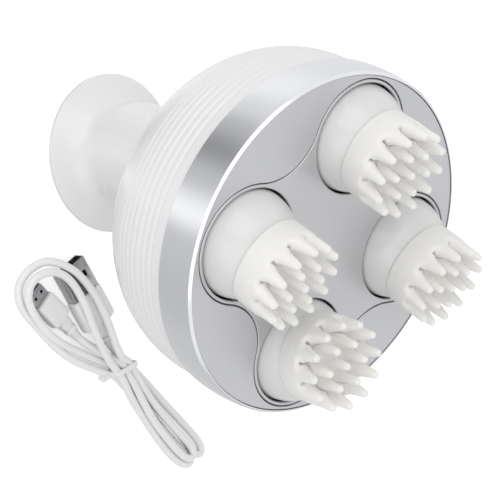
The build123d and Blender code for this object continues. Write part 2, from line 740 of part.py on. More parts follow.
def tooth_sketch(place, module, teeth, turn):
    """Toothed disc with straight-sided teeth, its first tooth at a turn."""
    pitch_radius = module * teeth / 2
    root = pitch_radius - DEDENDUM * module
    tip = pitch_radius + ADDENDUM * module
    foot = root - TOOTH_ROOT * module
    half_tooth = (pi / 2 - TOOTH_PLAY) * module / 2
    slant = tan(radians(TOOTH_SLANT))
    half_foot = half_tooth + slant * FOOT_FLARE * module
    half_tip = half_tooth - slant * (tip - pitch_radius)
    with BuildSketch(place) as outline:
        Circle(root)
        with PolarLocations(0, teeth, start_angle=turn):
            Polygon(
                (foot, -half_foot),
                (tip, -half_tip),
                (tip, half_tip),
                (foot, half_foot),
            )
    return outline.sketch


def meshed_turn(driver_turn, driver_teeth, teeth, direction):
    """Turn of a gear whose gap takes the driver's tooth on the line of centres."""
    pitch = 360 / driver_teeth
    offset_angle = (driver_turn - direction + pitch / 2) % pitch - pitch / 2
    gap = direction + 180 - offset_angle * driver_teeth / teeth
    return gap + 180 / teeth


idler_turn = meshed_turn(0, WHEEL_TEETH, IDLER_PINION_TEETH, IDLER_ANGLE)
motor_turn = meshed_turn(idler_turn, IDLER_TEETH, MOTOR_TEETH, IDLER_ANGLE + 180)
axle_bore = AXLE_RADIUS + SHAFT_GAP


def shoulder(module, teeth):
    """Radius of a gear's hub, just below the roots of its teeth."""
    return module * (teeth / 2 - DEDENDUM - TOOTH_ROOT)


with BuildPart() as drive_gear:
    extrude(tooth_sketch(station(wheel_low), WHEEL_MODULE, WHEEL_TEETH, 0), amount=WHEEL_WIDTH)
    sun_root = shoulder(head_module, SUN_TEETH)
    with BuildSketch(station(wheel_low)):
        Circle(sun_root)
    extrude(amount=sun_low - wheel_low)
    extrude(tooth_sketch(station(sun_low), head_module, SUN_TEETH, 0), amount=SUN_WIDTH)
    # lightened above the web, with a hub on the axle
    with BuildSketch(station(wheel_low + WEB_THICKNESS)):
        Circle(sun_root - SUN_RIM)
        Circle(HUB_RADIUS, mode=Mode.SUBTRACT)
    extrude(amount=sun_top - wheel_low - WEB_THICKNESS, mode=Mode.SUBTRACT)
    bars(axle_places[:1], HUB_RADIUS, gear_floor + BUSH_FLANGE, sun_top)
    bars(axle_places[:1], axle_bore, TRAY_FLOOR, sun_top, Mode.SUBTRACT)
save(drive_gear.part, "drive_gear")

idler_place = axle_places[1]
with BuildPart() as idler_gear:
    extrude(
        tooth_sketch(idler_place.offset(motor_gear_low), MOTOR_MODULE, IDLER_TEETH, idler_turn),
        amount=MOTOR_GEAR_WIDTH,
    )
    idler_root = shoulder(WHEEL_MODULE, IDLER_PINION_TEETH)
    bars([idler_place], idler_root, motor_gear_low, wheel_low)
    extrude(
        tooth_sketch(idler_place.offset(wheel_low), WHEEL_MODULE, IDLER_PINION_TEETH, idler_turn),
        amount=WHEEL_WIDTH,
    )
    bars([idler_place], idler_root, wheel_low, sun_top)
    bars([idler_place], axle_bore, TRAY_FLOOR, sun_top, Mode.SUBTRACT)
save(idler_gear.part, "idler_gear")

motor_centre = around(motor_circle, IDLER_ANGLE, 0)
with BuildPart() as motor_pinion:
    extrude(
        tooth_sketch(motor_centre.offset(motor_gear_low), MOTOR_MODULE, MOTOR_TEETH, motor_turn),
        amount=MOTOR_GEAR_WIDTH,
    )
    bars([motor_centre], MOTOR_SHAFT_RADIUS + SHAFT_GAP, TRAY_FLOOR, sun_top, Mode.SUBTRACT)
save(motor_pinion.part, "motor_pinion")

with BuildPart() as motor_shaft:
    shaft_end = motor_gear_low + MOTOR_GEAR_WIDTH + PINION_SHOULDER
    bars([motor_centre], MOTOR_SHAFT_RADIUS, TRAY_FLOOR - SHAFT_BURIED, shaft_end)
save(motor_shaft.part, "motor_shaft")

# ---- motor and battery -----------------------------------------------------
with BuildPart() as motor:
    with BuildSketch(motor_place):
        Circle(MOTOR_RADIUS)
        Rectangle(MOTOR_FLATS, 2 * MOTOR_RADIUS, mode=Mode.INTERSECT)
    extrude(amount=-MOTOR_LENGTH)
    with BuildSketch(motor_place):
        Circle(MOTOR_BOSS_RADIUS)
    extrude(amount=MOTOR_BOSS)
    with BuildSketch(motor_place.offset(MOTOR_BOSS)):
        Circle(MOTOR_SHAFT_RADIUS + SHAFT_GAP)
    extrude(amount=-MOTOR_BOSS - SHAFT_BURIED, mode=Mode.SUBTRACT)
    with BuildSketch(motor_place):
        with Locations(*motor_screw_places):
            Circle(SCREW_RADIUS + SHAFT_GAP)
    extrude(amount=TRAY_THICKNESS - MOTOR_SCREW_LENGTH, mode=Mode.SUBTRACT)
save(motor.part, "motor")

with BuildPart() as motor_screws:
    with BuildSketch(motor_place.offset(TRAY_THICKNESS)):
        with Locations(*motor_screw_places):
            Circle(SCREW_RADIUS)
    extrude(amount=-MOTOR_SCREW_LENGTH)
    with BuildSketch(motor_place.offset(TRAY_THICKNESS)):
        with Locations(*motor_screw_places):
            Circle(SCREW_HEAD_RADIUS)
    extrude(amount=SCREW_HEAD)
save(motor_screws.part, "motor_screws")

battery_offset = waist_inside - BATTERY_ROOM - BATTERY_RADIUS
battery_place = spun(around(battery_offset, IDLER_ANGLE + 180, 0), IDLER_ANGLE)
with BuildPart() as battery:
    with BuildSketch(battery_place.offset(BATTERY_START)):
        Circle(BATTERY_RADIUS)
    extrude(amount=BATTERY_LENGTH - CONTACT_HEIGHT)
    with BuildSketch(battery_place.offset(BATTERY_START + BATTERY_LENGTH - CONTACT_HEIGHT)):
        Circle(CONTACT_RADIUS)
    extrude(amount=CONTACT_HEIGHT)
save(battery.part, "battery")

cradle_inside = BATTERY_RADIUS + FIT_GAP
with BuildPart() as battery_cradle:
    with BuildSketch(battery_place.offset(CRADLE_START)):
        Circle(cradle_inside + CRADLE_WALL)
        Circle(cradle_inside, mode=Mode.SUBTRACT)
        # open towards the motor, so that the cell snaps in
        with Locations((cradle_inside, 0)):
            Rectangle(cradle_inside, CRADLE_MOUTH * cradle_inside, mode=Mode.SUBTRACT)
    extrude(amount=TRAY_FLOOR - CRADLE_START)
save(battery_cradle.part, "battery_cradle")

# ---- heads -----------------------------------------------------------------
# the cup and the claw cap are drawn on their own axis, with the spindle's bend
# at the origin, and each head gets a copy
cup_half = half_plane(Plane.XY)
boss_low = SPINDLE_HUB + HUB_CLEARANCE
plug_outside = CLAW_RADIUS - CLAW_WALL - SHAFT_GAP
plug_top = CLAW_ROOF - CLAW_ROOF_THICKNESS - RUN_GAP
cup_inside = CUP_RADIUS - CUP_WALL


def sphere_width(radius, height):
    """Radius of a ball's section at a height over its centre."""
    return sqrt(radius**2 - height**2)


with BuildPart() as cup:
    with BuildSketch(cup_half):
        with BuildLine():
            ThreePointArc(
                (sphere_width(CUP_RADIUS, CUP_SKIRT), -CUP_SKIRT),
                (CUP_RADIUS * cos(radians(15)), CUP_RADIUS * sin(radians(15))),
                (sphere_width(CUP_RADIUS, CUP_TOP), CUP_TOP),
            )
            Polyline(
                (sphere_width(CUP_RADIUS, CUP_TOP), CUP_TOP),
                (plug_outside, CUP_TOP),
                (plug_outside, plug_top),
                (plug_outside - CUP_WALL, plug_top),
                (plug_outside - CUP_WALL, CUP_TOP),
                (0, CUP_TOP),
                (0, stub_length),
                (STUB_RADIUS + SHAFT_GAP, stub_length),
                (STUB_RADIUS + SHAFT_GAP, boss_low),
                (STUB_RADIUS + CUP_WALL, boss_low),
                (STUB_RADIUS + CUP_WALL, stub_length),
                (sphere_width(cup_inside, stub_length), stub_length),
            )
            ThreePointArc(
                (sphere_width(cup_inside, stub_length), stub_length),
                (cup_inside * cos(radians(10)), cup_inside * sin(radians(10))),
                (sphere_width(cup_inside, CUP_SKIRT), -CUP_SKIRT),
            )
            Line(
                (sphere_width(cup_inside, CUP_SKIRT), -CUP_SKIRT),
                (sphere_width(CUP_RADIUS, CUP_SKIRT), -CUP_SKIRT),
            )
        make_face()
    revolve(axis=Axis.Z)

claw_low = CUP_TOP + SHAFT_GAP
outer_circle = CLAW_RADIUS - OUTER_ROOT_RADIUS
prong_root = CLAW_ROOF - RUN_GAP


def prong(circle, angle, root_radius, tip_radius, tip, lean):
    """Tapered prong with a round tip, its foot sunk a little into the roof."""
    turn = radians(angle)
    foot = Vector(circle * cos(turn), circle * sin(turn), prong_root)
    out = circle + lean
    end = Vector(out * cos(turn), out * sin(turn), tip - tip_radius)
    rise = end - foot
    place = Plane(origin=foot, z_dir=rise)
    with Locations(place.location):
        Cone(root_radius, tip_radius, rise.length, align=(Align.CENTER, Align.CENTER, Align.MIN))
    with Locations(end):
        Sphere(tip_radius)


with BuildPart() as claw_cap:
    with BuildSketch(cup_half):
        Polygon(
            (plug_outside + SHAFT_GAP, claw_low),
            (CLAW_RADIUS, claw_low),
            (CLAW_RADIUS, CLAW_CREST),
            (CLAW_RADIUS - CLAW_WALL, CLAW_CREST),
            (CLAW_RADIUS - CLAW_WALL, CLAW_ROOF),
            (0, CLAW_ROOF),
            (0, CLAW_ROOF - CLAW_ROOF_THICKNESS),
            (plug_outside + SHAFT_GAP, CLAW_ROOF - CLAW_ROOF_THICKNESS),
        )
    revolve(axis=Axis.Z)
    for index in range(OUTER_PRONGS):
        angle = index * 360 / OUTER_PRONGS
        prong(outer_circle, angle, OUTER_ROOT_RADIUS, OUTER_TIP_RADIUS, OUTER_TIP, OUTER_LEAN)
    for index in range(INNER_PRONGS):
        angle = index * 360 / INNER_PRONGS
        prong(INNER_CIRCLE, angle, INNER_ROOT_RADIUS, INNER_TIP_RADIUS, INNER_TIP, 0)
    prong(0, 0, INNER_ROOT_RADIUS, INNER_TIP_RADIUS, INNER_TIP, 0)

for name, angle, lean, heading, prong_turn in HEADS:
    place = around(head_circle, angle, 0)
    pivot = place.offset(pivot_station)
    out = body.x_dir * cos(radians(heading)) + body.y_dir * sin(radians(heading))
    axis = body.z_dir * cos(radians(lean)) + out * sin(radians(lean))
    side = body.x_dir - axis * body.x_dir.dot(axis)
    head = Plane(origin=pivot.origin, x_dir=side, z_dir=axis)

    with BuildPart() as output_gear:
        turn = meshed_turn(0, SUN_TEETH, HEAD_TEETH, angle)
        extrude(tooth_sketch(place.offset(sun_low), head_module, HEAD_TEETH, turn), amount=SUN_WIDTH)
        hub_radius = SPINDLE_RADIUS + SHAFT_GAP + GEAR_HUB_WALL
        bars([place], hub_radius, gear_floor + BUSH_FLANGE + RUN_GAP, sun_top)
        bars([place], SPINDLE_RADIUS + SHAFT_GAP, TRAY_FLOOR, sun_top, Mode.SUBTRACT)
    save(output_gear.part, f"output_gear_{name}")

    with BuildPart() as spindle_bushes:
        bars([place], bush_radius, TRAY_FLOOR, gear_floor)
        bars([place], bush_rim, gear_floor, gear_floor + BUSH_FLANGE)
        bars([place], bush_rim, cover_low - BUSH_FLANGE, cover_low)
        bars([place], bush_radius, cover_low, cover_top)
        bars([place], SPINDLE_RADIUS + SHAFT_GAP, TRAY_FLOOR, cover_top, Mode.SUBTRACT)
    save(spindle_bushes.part, f"spindle_bushes_{name}")

    with BuildPart() as shaft_seal:
        bars([place], seal_radius, cover_top, cover_top + SEAL_HEIGHT)
        bars([place], SPINDLE_RADIUS + SHAFT_GAP, cover_top, cover_top + SEAL_HEIGHT, Mode.SUBTRACT)
    save(shaft_seal.part, f"shaft_seal_{name}")

    with BuildPart() as spindle:
        bars([place], SPINDLE_RADIUS, TRAY_FLOOR, pivot_station)
        with Locations(pivot.origin):
            Sphere(SPINDLE_HUB)
        with BuildSketch(head):
            Circle(STUB_RADIUS)
        extrude(amount=stub_length)
    save(spindle.part, f"spindle_{name}")

    save(cup.part.moved(head.location), f"cup_{name}")
    claws = spun(head, prong_turn)
    save(claw_cap.part.moved(claws.location), f"claw_cap_{name}")

# ---- charging lead ---------------------------------------------------------
# outlines of the bundled lead on the floor: the open loop, the space inside it,
# and the folded tail beyond the tie
LOOP_OUTSIDE = (
    (-1.7, -78.3),
    (-15.3, -73.5),
    (-25.6, -67.7),
    (-31.9, -60.8),
    (-40.3, -55.9),
    (-42.4, -49.3),
    (-40.7, -43.3),
    (-34.2, -38.6),
    (-23.7, -37.3),
    (-18.9, -39.7),
    (-10.8, -46.4),
    (-2.4, -57.8),
    (2.1, -66.7),
    (9.7, -73.9),
)
LOOP_INSIDE = (
    (-27.5, -43.1),
    (-32.3, -46.4),
    (-33.8, -50.6),
    (-32.4, -53.9),
    (-24.4, -60.8),
    (-19.0, -64.5),
    (-11.0, -66.9),
    (-8.0, -63.6),
    (-11.0, -57.6),
    (-14.0, -51.4),
    (-17.3, -47.4),
    (-22.9, -43.1),
)
TAIL_OUTSIDE = (
    (-0.4, -75.4),
    (2.5, -81.1),
    (12.1, -91.1),
    (24.6, -106.0),
    (31.8, -111.8),
    (38.2, -114.3),
    (46.1, -110.2),
    (46.6, -107.7),
    (43.0, -102.9),
    (32.9, -94.9),
    (21.2, -85.1),
    (8.5, -71.9),
)


def lying(tip, heading, height=0.0):
    """Plane of a piece on the floor, x running from its tip to its lead."""
    turn = radians(heading)
    return Plane(origin=(*tip, height), x_dir=(cos(turn), sin(turn), 0), z_dir=(0, 0, 1))


def block(place, start, size, low, mode=Mode.ADD):
    """Box along x of a lying plane, centred across it."""
    length, width, height = size
    with BuildSketch(place.offset(low)) as section:
        with Locations((start + length / 2, 0)):
            Rectangle(length, width)
    extrude(section.sketch, amount=height, mode=mode)


usb = lying(USB_TIP, USB_HEADING)
micro = lying(MICRO_TIP, MICRO_HEADING)
tie = lying(TIE_PLACE, TIE_HEADING)
usb_end = USB_SHELL[0] + USB_GRIP[0] + USB_RELIEF
micro_end = MICRO_SHELL[0] + MICRO_GRIP[0] + MICRO_RELIEF
tie_span = TIE_STRANDS * LEAD_DIAMETER + TIE_SLACK
tail_height = 2 * LEAD_DIAMETER + 2 * TIE_THICKNESS

with BuildPart() as cord_hank:
    with BuildSketch():
        with BuildLine():
            outside = Spline(*LOOP_OUTSIDE)
            Line(outside @ 1, outside @ 0)
        make_face()
        with BuildLine():
            Spline(*LOOP_INSIDE, periodic=True)
        make_face(mode=Mode.SUBTRACT)
    extrude(amount=LOOP_HEIGHT)
    with BuildSketch():
        with BuildLine():
            folded = Spline(*TAIL_OUTSIDE)
            Line(folded @ 1, folded @ 0)
        make_face()
    extrude(amount=tail_height)
    # the strands pass over the plugs
    for place, end, grip in ((usb, usb_end, USB_GRIP), (micro, micro_end, MICRO_GRIP)):
        room = (end + PLUG_ROOM, grip[1] + 2 * PLUG_CLEARANCE, grip[2] + PLUG_CLEARANCE)
        block(place, -PLUG_ROOM, room, 0, Mode.SUBTRACT)
    # neck under the tie
    band = TIE_WIDTH + 2 * SHAFT_GAP
    block(tie, -band / 2, (band, 3 * tie_span, 2 * LOOP_HEIGHT), 0, Mode.SUBTRACT)
    neck_height = tail_height - TIE_THICKNESS - SHAFT_GAP
    block(tie, -band / 2, (band, tie_span, neck_height - TIE_THICKNESS), TIE_THICKNESS + SHAFT_GAP)
save(cord_hank.part, "cord_hank")

with BuildPart() as cord_tie:
    outer = tie_span + 2 * (TIE_THICKNESS + SHAFT_GAP)
    block(tie, -TIE_WIDTH / 2, (TIE_WIDTH, outer, tail_height + SHAFT_GAP), 0)
    inner = tie_span + 2 * SHAFT_GAP
    opening = (TIE_WIDTH, inner, tail_height - 2 * TIE_THICKNESS)
    block(tie, -TIE_WIDTH / 2, opening, TIE_THICKNESS, Mode.SUBTRACT)
save(cord_tie.part, "cord_tie")

for name, place, shell, grip, relief in (
    ("usb_a", usb, USB_SHELL, USB_GRIP, USB_RELIEF),
    ("micro", micro, MICRO_SHELL, MICRO_GRIP, MICRO_RELIEF),
):
    shell_low = (grip[2] - shell[2]) / 2
    inside = (shell[0], shell[1] - 2 * PLUG_WALL, shell[2] - 2 * PLUG_WALL)
    with BuildPart() as plug_shell:
        block(place, 0, shell, shell_low)
        block(place, 0, inside, shell_low + PLUG_WALL, Mode.SUBTRACT)
        # two windows for the socket's springs
        with BuildSketch(place.offset(shell_low + shell[2] / 2)):
            window_x = shell[0] * WINDOW_PLACE
            with Locations((window_x, shell[1] / 4), (window_x, -shell[1] / 4)):
                Rectangle(shell[0] * WINDOW_LENGTH, shell[1] * WINDOW_WIDTH)
        extrude(amount=shell[2], mode=Mode.SUBTRACT)
    save(plug_shell.part, f"{name}_shell")

    with BuildPart() as plug_grip:
        block(place, shell[0], grip, 0)
        corners = plug_grip.edges().filter_by(Axis.Z, reverse=True)
        along = [edge for edge in corners if abs(edge.length - grip[0]) < 1e-6]
        fillet(along, radius=grip[2] * GRIP_ROUNDING)
        # tongue that carries the contacts
        tongue_width = inside[1] - 2 * FIT_GAP
        tongue = (shell[0] - TONGUE_SETBACK, tongue_width, inside[2] * TONGUE_SHARE)
        block(place, TONGUE_SETBACK, tongue, shell_low + PLUG_WALL + FIT_GAP)
        # stepped relief that tapers onto the lead
        lead = Plane(
            origin=place.from_local_coords((shell[0] + grip[0], 0, grip[2] / 2)),
            x_dir=place.y_dir,
            z_dir=place.x_dir,
        )
        with BuildSketch(half_plane(lead)):
            lead_radius = LEAD_DIAMETER / 2
            Polygon(
                (0, 0),
                (lead_radius + RELIEF_ROOT, 0),
                (lead_radius + RELIEF_TIP, relief),
                (0, relief),
            )
        revolve(axis=Axis(lead.origin, lead.z_dir))
    save(plug_grip.part, f"{name}_overmould")
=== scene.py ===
"""Finish, lead and studio for an electric scalp massager with four turning heads.

The massager stands on the flat end of its flared handle and its body leans towards
-Y. Lengths are in metres unless a name says otherwise. Stations on the body are
heights along its leaning axis, counted from the bend where the handle's axis
crosses it. A head's heights are counted from the bend of its spindle.
"""

import json
from math import asin, cos, pi, radians, sin, sqrt, tan

import bmesh
import bpy
import numpy as np
from bpy.props import FloatProperty, FloatVectorProperty, IntProperty, PointerProperty
from mathutils import Matrix, Vector


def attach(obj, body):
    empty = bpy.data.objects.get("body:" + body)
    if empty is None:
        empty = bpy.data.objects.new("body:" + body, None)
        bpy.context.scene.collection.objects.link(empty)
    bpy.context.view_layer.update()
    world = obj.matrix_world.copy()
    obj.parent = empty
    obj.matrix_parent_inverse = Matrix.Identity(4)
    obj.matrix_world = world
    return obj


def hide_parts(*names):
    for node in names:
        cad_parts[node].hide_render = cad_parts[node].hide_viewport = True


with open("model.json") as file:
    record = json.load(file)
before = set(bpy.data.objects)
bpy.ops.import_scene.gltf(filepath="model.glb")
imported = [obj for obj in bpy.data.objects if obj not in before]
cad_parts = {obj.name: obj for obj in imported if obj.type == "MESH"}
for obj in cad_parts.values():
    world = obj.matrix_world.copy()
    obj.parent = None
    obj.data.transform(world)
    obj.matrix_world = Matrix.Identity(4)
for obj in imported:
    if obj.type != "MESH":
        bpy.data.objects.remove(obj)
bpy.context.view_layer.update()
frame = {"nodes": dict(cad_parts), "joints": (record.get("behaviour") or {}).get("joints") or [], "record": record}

bl_info = {
    "name": "Scalp Massager",
    "version": (1, 0, 0),
    "blender": (4, 5, 0),
    "location": "3D View > Sidebar > Massager",
    "description": "Builds the shells, heads, charging lead and studio of a scalp massager",
    "category": "Add Mesh",
}

MM = 0.001
ON_AXIS = 1e-7  # an outline's points nearer to the axis than this lie on it

# ---- places read from the frame ---------------------------------------------
joints = {joint["name"]: joint for joint in frame["joints"]}
body_of = {
    node: body for body, nodes in frame["record"]["behaviour"]["bodies"].items() for node in nodes
}
slot_of = {part["node"]: part["material_slot"] for part in frame["record"]["subparts"]}
body_axis = Vector(joints["drive_spin"]["axis"]).normalized()
drive_place = Vector(joints["drive_spin"]["pos_m"])
bend = drive_place - body_axis * (drive_place.y / body_axis.y)
body_lean = asin(-body_axis.y)
body_place = Matrix.Translation(bend) @ Matrix.Rotation(body_lean, 4, "X")


# ---- settings -----------------------------------------------------------------
def length(name, description, millimetres):
    """A length that the user can change, kept in metres."""
    return FloatProperty(
        name=name,
        description=description,
        default=millimetres * MM,
        subtype="DISTANCE",
        unit="LENGTH",
        precision=4,
    )


def share(name, description, value):
    """A share from 0 to 1."""
    return FloatProperty(
        name=name, description=description, default=value, min=0, max=1, subtype="FACTOR"
    )


def tint(name, description, colour):
    """A linear colour without alpha."""
    return FloatVectorProperty(
        name=name,
        description=description,
        default=colour,
        size=3,
        min=0,
        max=1,
        subtype="COLOR",
    )


class MassagerHandleSettings(bpy.types.PropertyGroup):
    """Sizes of the flared handle and its waist."""

    rim_radius: length("Rim radius", "Radius of the flared end", 27.7)
    rim_land: length("Rim land", "Height of the upright edge of the rim", 1.6)
    flare_reach: length("Flare reach", "How far the flare runs in before it turns up", 5.1)
    flare_rise: length("Flare rise", "How far it rises on the way in", 3.0)
    flare_neck: length("Flare neck", "How far below the elbow the flare is upright", 5.5)
    waist_radius: length("Waist radius", "Radius of the waist", 17.5)
    waist_wall: length("Waist wall", "Wall of the waist", 2.0)
    elbow_radius: length("Elbow radius", "Radius of the axis where the handle bends", 24.0)
    parting: length("Parting", "Station where the handle meets the dome", 20.0)
    dish_lip: length("Dish lip", "Width of the flat ring that it stands on", 3.1)
    dish_depth: length("Dish depth", "Depth of the end cap inside the rim", 2.8)
    cap_seat: length("Cap seat", "Radius of the end cap's seat", 20.7)


class MassagerBodySettings(bpy.types.PropertyGroup):
    """Sizes of the dome, the ring and the face."""

    dome_radius: length("Dome radius", "Radius of the dome beside the ring", 55.3)
    dome_shoulder: length("Dome shoulder", "Station where the dome starts to close", 68.7)
    dome_depth: length("Dome depth", "Half axis of the dome along the body", 43.0)
    wall: length("Wall", "Wall of the dome", 2.2)
    waist_fillet: length("Waist fillet", "Radius between dome and waist", 7.0)
    rib_first: length("First groove", "Station of the groove next to the ring", 75.2)
    rib_pitch: length("Groove pitch", "Distance between grooves", 2.65)
    rib_width: length("Groove width", "Half width of a groove", 0.95)
    rib_depth: length("Groove depth", "Depth of a groove", 0.42)
    rib_count: IntProperty(name="Grooves", description="Number of grip grooves", default=7)
    ring_back: length("Ring back", "Station of the ring's back edge", 80.0)
    ring_back_radius: length("Ring back radius", "Radius of the ring at its back", 56.0)
    ring_front_radius: length("Ring front radius", "Radius of the ring at its front", 55.5)
    ring_bulge: length("Ring bulge", "How far the ring swells between them", 0.45)
    ring_chamfer: length("Ring chamfer", "Chamfer of the ring's front edge", 0.7)
    ring_proud: length("Ring proud", "How far the ring stands out of the face", 0.35)
    face: length("Face", "Station of the face", 93.5)
    face_radius: length("Face radius", "Radius of the face plate", 54.4)
    face_thickness: length("Face thickness", "Thickness of both face plates", 1.5)
    plate_edge: length("Plate edge", "Chamfer along the edges of the face plates", 0.14)
    head_circle: length("Head circle", "Radius on which the heads stand", 34.5)
    head_hole: length("Head hole", "Radius of the holes in the face", 17.6)
    lobe_radius: length("Lobe radius", "Radius of a lobe of the clover plate", 19.0)
    clover_waist: length("Clover waist", "Centre to the clover's edge between heads", 34.1)
    clover_gap: length("Clover gap", "Groove round the clover plate", 0.4)


class MassagerHeadSettings(bpy.types.PropertyGroup):
    """Sizes of the cups and the claw caps."""

    cup_radius: length("Cup radius", "Radius of the round cup", 17.2)
    cup_wall: length("Cup wall", "Wall of the cup", 1.6)
    cup_top: length("Cup top", "Height at which the claw cap sits on the cup", 10.65)
    cup_skirt: length("Cup skirt", "How far the cup reaches behind its bend", 3.0)
    claw_radius: length("Claw radius", "Radius of the claw cap", 14.4)
    claw_wall: length("Claw wall", "Wall of the claw cap", 1.75)
    claw_roof: length("Claw roof", "Height of the floor between the prongs", 16.3)
    roof_thickness: length("Roof thickness", "Thickness of that floor", 1.6)
    claw_crest: length("Claw crest", "Height of the rim between two outer prongs", 18.0)
    outer_prongs: IntProperty(name="Outer prongs", description="Prongs round the rim", default=12)
    outer_tip: length("Outer tip", "Height of the outer prongs", 26.6)
    outer_root: length("Outer root", "Radius of an outer prong at its root", 2.9)
    outer_point: length("Outer point", "Radius of an outer prong at its tip", 1.25)
    outer_lean: length("Outer lean", "How far the outer prongs lean out", 1.55)
    flare: share("Flare", "How much the cap widens over its crest", 0.045)
    inner_prongs: IntProperty(name="Inner prongs", description="Prongs inside", default=6)
    inner_circle: length("Inner circle", "Radius on which the inner prongs stand", 7.0)
    inner_tip: length("Inner tip", "Height of the inner prongs", 27.0)
    inner_root: length("Inner root", "Radius of an inner prong at its root", 1.9)
    inner_point: length("Inner point", "Radius of an inner prong at its tip", 1.2)
    web: length("Web", "How widely the prongs run into each other", 2.6)
    soft_edge: length("Soft edge", "Rounding of the wall's edges", 0.6)
    outer_blend: length("Outer blend", "Rounding where the prongs meet the outside", 0.5)
    grain: length("Mesh grain", "Size of the faces of the claw caps", 0.3)


class MassagerLeadSettings(bpy.types.PropertyGroup):
    """Sizes of the charging lead, its plugs and its tie."""

    diameter: length("Lead diameter", "Diameter of the lead", 2.8)
    real_length: length("Lead length", "Length of the lead between its plugs", 582)
    tie_span: length("Tie span", "Width of the bundle inside the tie", 9.4)
    tie_height: length("Tie height", "Height of the bundle inside the tie", 5.6)
    tie_width: length("Tie width", "Width of the tie's band", 1.9)
    tie_thickness: length("Tie thickness", "Thickness of the tie's band", 0.6)
    tie_strand: length("Tie strand", "Radius of each of the tie's twisted ends", 0.7)


class MassagerFinishSettings(bpy.types.PropertyGroup):
    """Colours and gloss of the visible finishes."""

    shell_colour: tint("Shell", "White of the mouldings", (0.82, 0.82, 0.82))
    # the cups' white is darker than the shell's: a painted shade for the shade that the claw caps and the other
    # heads cast on them
    cup_colour: tint("Cup", "White of the cups", (0.73, 0.73, 0.725))
    shell_roughness: share("Shell roughness", "Roughness of the mouldings", 0.22)
    face_colour: tint("Face", "Silver paint of the face", (0.575, 0.580, 0.600))
    face_roughness: share("Face roughness", "Roughness of the silver paint", 0.36)
    ring_colour: tint("Ring", "Plating of the ring", (0.80, 0.81, 0.84))
    ring_roughness: share("Ring roughness", "Roughness of the plating", 0.17)
    claw_colour: tint("Claws", "Silicone of the claw caps", (0.86, 0.85, 0.83))
    claw_roughness: share("Claw roughness", "Roughness of the silicone", 0.52)
    lead_colour: tint("Lead", "White of the lead", (0.87, 0.87, 0.87))
    lead_roughness: share("Lead roughness", "Roughness of the lead", 0.36)


class MassagerStudioSettings(bpy.types.PropertyGroup):
    """Camera, lamps and floor."""

    key_power: FloatProperty(name="Key", description="Power of the large lamp", default=2.2)
    fill_power: FloatProperty(name="Fill", description="Power of the low lamp", default=0.8)
    sky: share("Sky", "Level of light from all round", 0.80)
    floor_size: length("Floor size", "Side of the floor", 6000)
    lens: FloatProperty(
        name="Lens", description="Focal length", default=116.876 * MM, subtype="DISTANCE_CAMERA"
    )


# ---- outlines -----------------------------------------------------------------
def arc(centre, radius, start, end, steps):
    """Points on an arc between two angles, both ends among them."""
    angles = [start + (end - start) * step / steps for step in range(steps + 1)]
    return [(centre[0] + radius * cos(a), centre[1] + radius * sin(a)) for a in angles]


def circle(centre, radius, steps):
    """Points round a circle, the first of them towards +X."""
    return arc(centre, radius, 0, 2 * pi, steps)[:-1]


def bezier(first, second, third, fourth, steps):
    """Points on a cubic Bezier curve, both ends among them."""
    points = []
    for step in range(steps + 1):
        t = step / steps
        weights = ((1 - t) ** 3, 3 * t * (1 - t) ** 2, 3 * t**2 * (1 - t), t**3)
        knots = (first, second, third, fourth)
        points.append(tuple(sum(w * k[axis] for w, k in zip(weights, knots)) for axis in (0, 1)))
    return points


GUARD = 1.4  # how far the guard points stand from a rounded corner, in reaches of its arc


def rounded(corners, steps=5):
    """Closed outline; a corner given as (x, y, radius) is rounded off."""
    points = []
    for index, corner in enumerate(corners):
        here = Vector(corner[:2])
        if len(corner) < 3:
            points.append(here)
            continue
        before = (Vector(corners[index - 1][:2]) - here).normalized()
        after = (Vector(corners[(index + 1) % len(corners)][:2]) - here).normalized()
        half = before.angle(after) / 2
        reach = corner[2] / tan(half)
        middle = here + (before + after).normalized() * corner[2] / sin(half)
        spoke = here + before * reach - middle
        sweep = pi - 2 * half
        if before.x * after.y - before.y * after.x > 0:
            sweep = -sweep
        # a guard point on each side keeps the flats beside the corner flat
        points.append(here + before * reach * GUARD)
        for step in range(steps + 1):
            points.append(middle + Matrix.Rotation(sweep * step / steps, 2) @ spoke)
        points.append(here + after * reach * GUARD)
    return points


# ---- meshes -------------------------------------------------------------------
SMOOTH_ANGLE = radians(35)
BROKEN_ANGLE = radians(50)
FLAT_ANGLE = radians(0.05)
WELD_REACH = 0.001 * MM


def add_object(name, mesh):
    """Object of a finished mesh, shaded smooth across its shallow edges."""
    mesh.shade_smooth()
    mesh.set_sharp_from_angle(angle=SMOOTH_ANGLE)
    piece = bpy.data.objects.new(name, mesh)
    bpy.context.scene.collection.objects.link(piece)
    return piece


def mesh_from(name, build):
    """Mesh of a bmesh, which is closed."""
    bmesh.ops.recalc_face_normals(build, faces=build.faces)
    mesh = bpy.data.meshes.new(name)
    build.to_mesh(mesh)
    build.free()
    return mesh


def turned_mesh(name, outline, place, segments):
    """Closed outline of (radius, height) points turned about an axis.

    The place is a matrix, or a function that gives one for each height.
    """
    build = bmesh.new()
    spokes = circle((0, 0), 1, segments)
    rings = []
    for radius, height in outline:
        here = place(height) if callable(place) else place @ Matrix.Translation((0, 0, height))
        if radius < ON_AXIS:
            rings.append([build.verts.new(here.translation)] * segments)
        else:
            ring = [here @ Vector((radius * x, radius * y, 0)) for x, y in spokes]
            rings.append([build.verts.new(point) for point in ring])
    for low, high in zip(rings, rings[1:] + rings[:1]):
        for index in range(segments):
            corners = (low[index - 1], low[index], high[index], high[index - 1])
            unique = list(dict.fromkeys(corners))
            if len(unique) > 2:
                build.faces.new(unique)
    return mesh_from(name, build)


def turned_piece(name, outline, place, segments):
    """Object of an outline turned about an axis."""
    return add_object(name, turned_mesh(name, outline, place, segments))


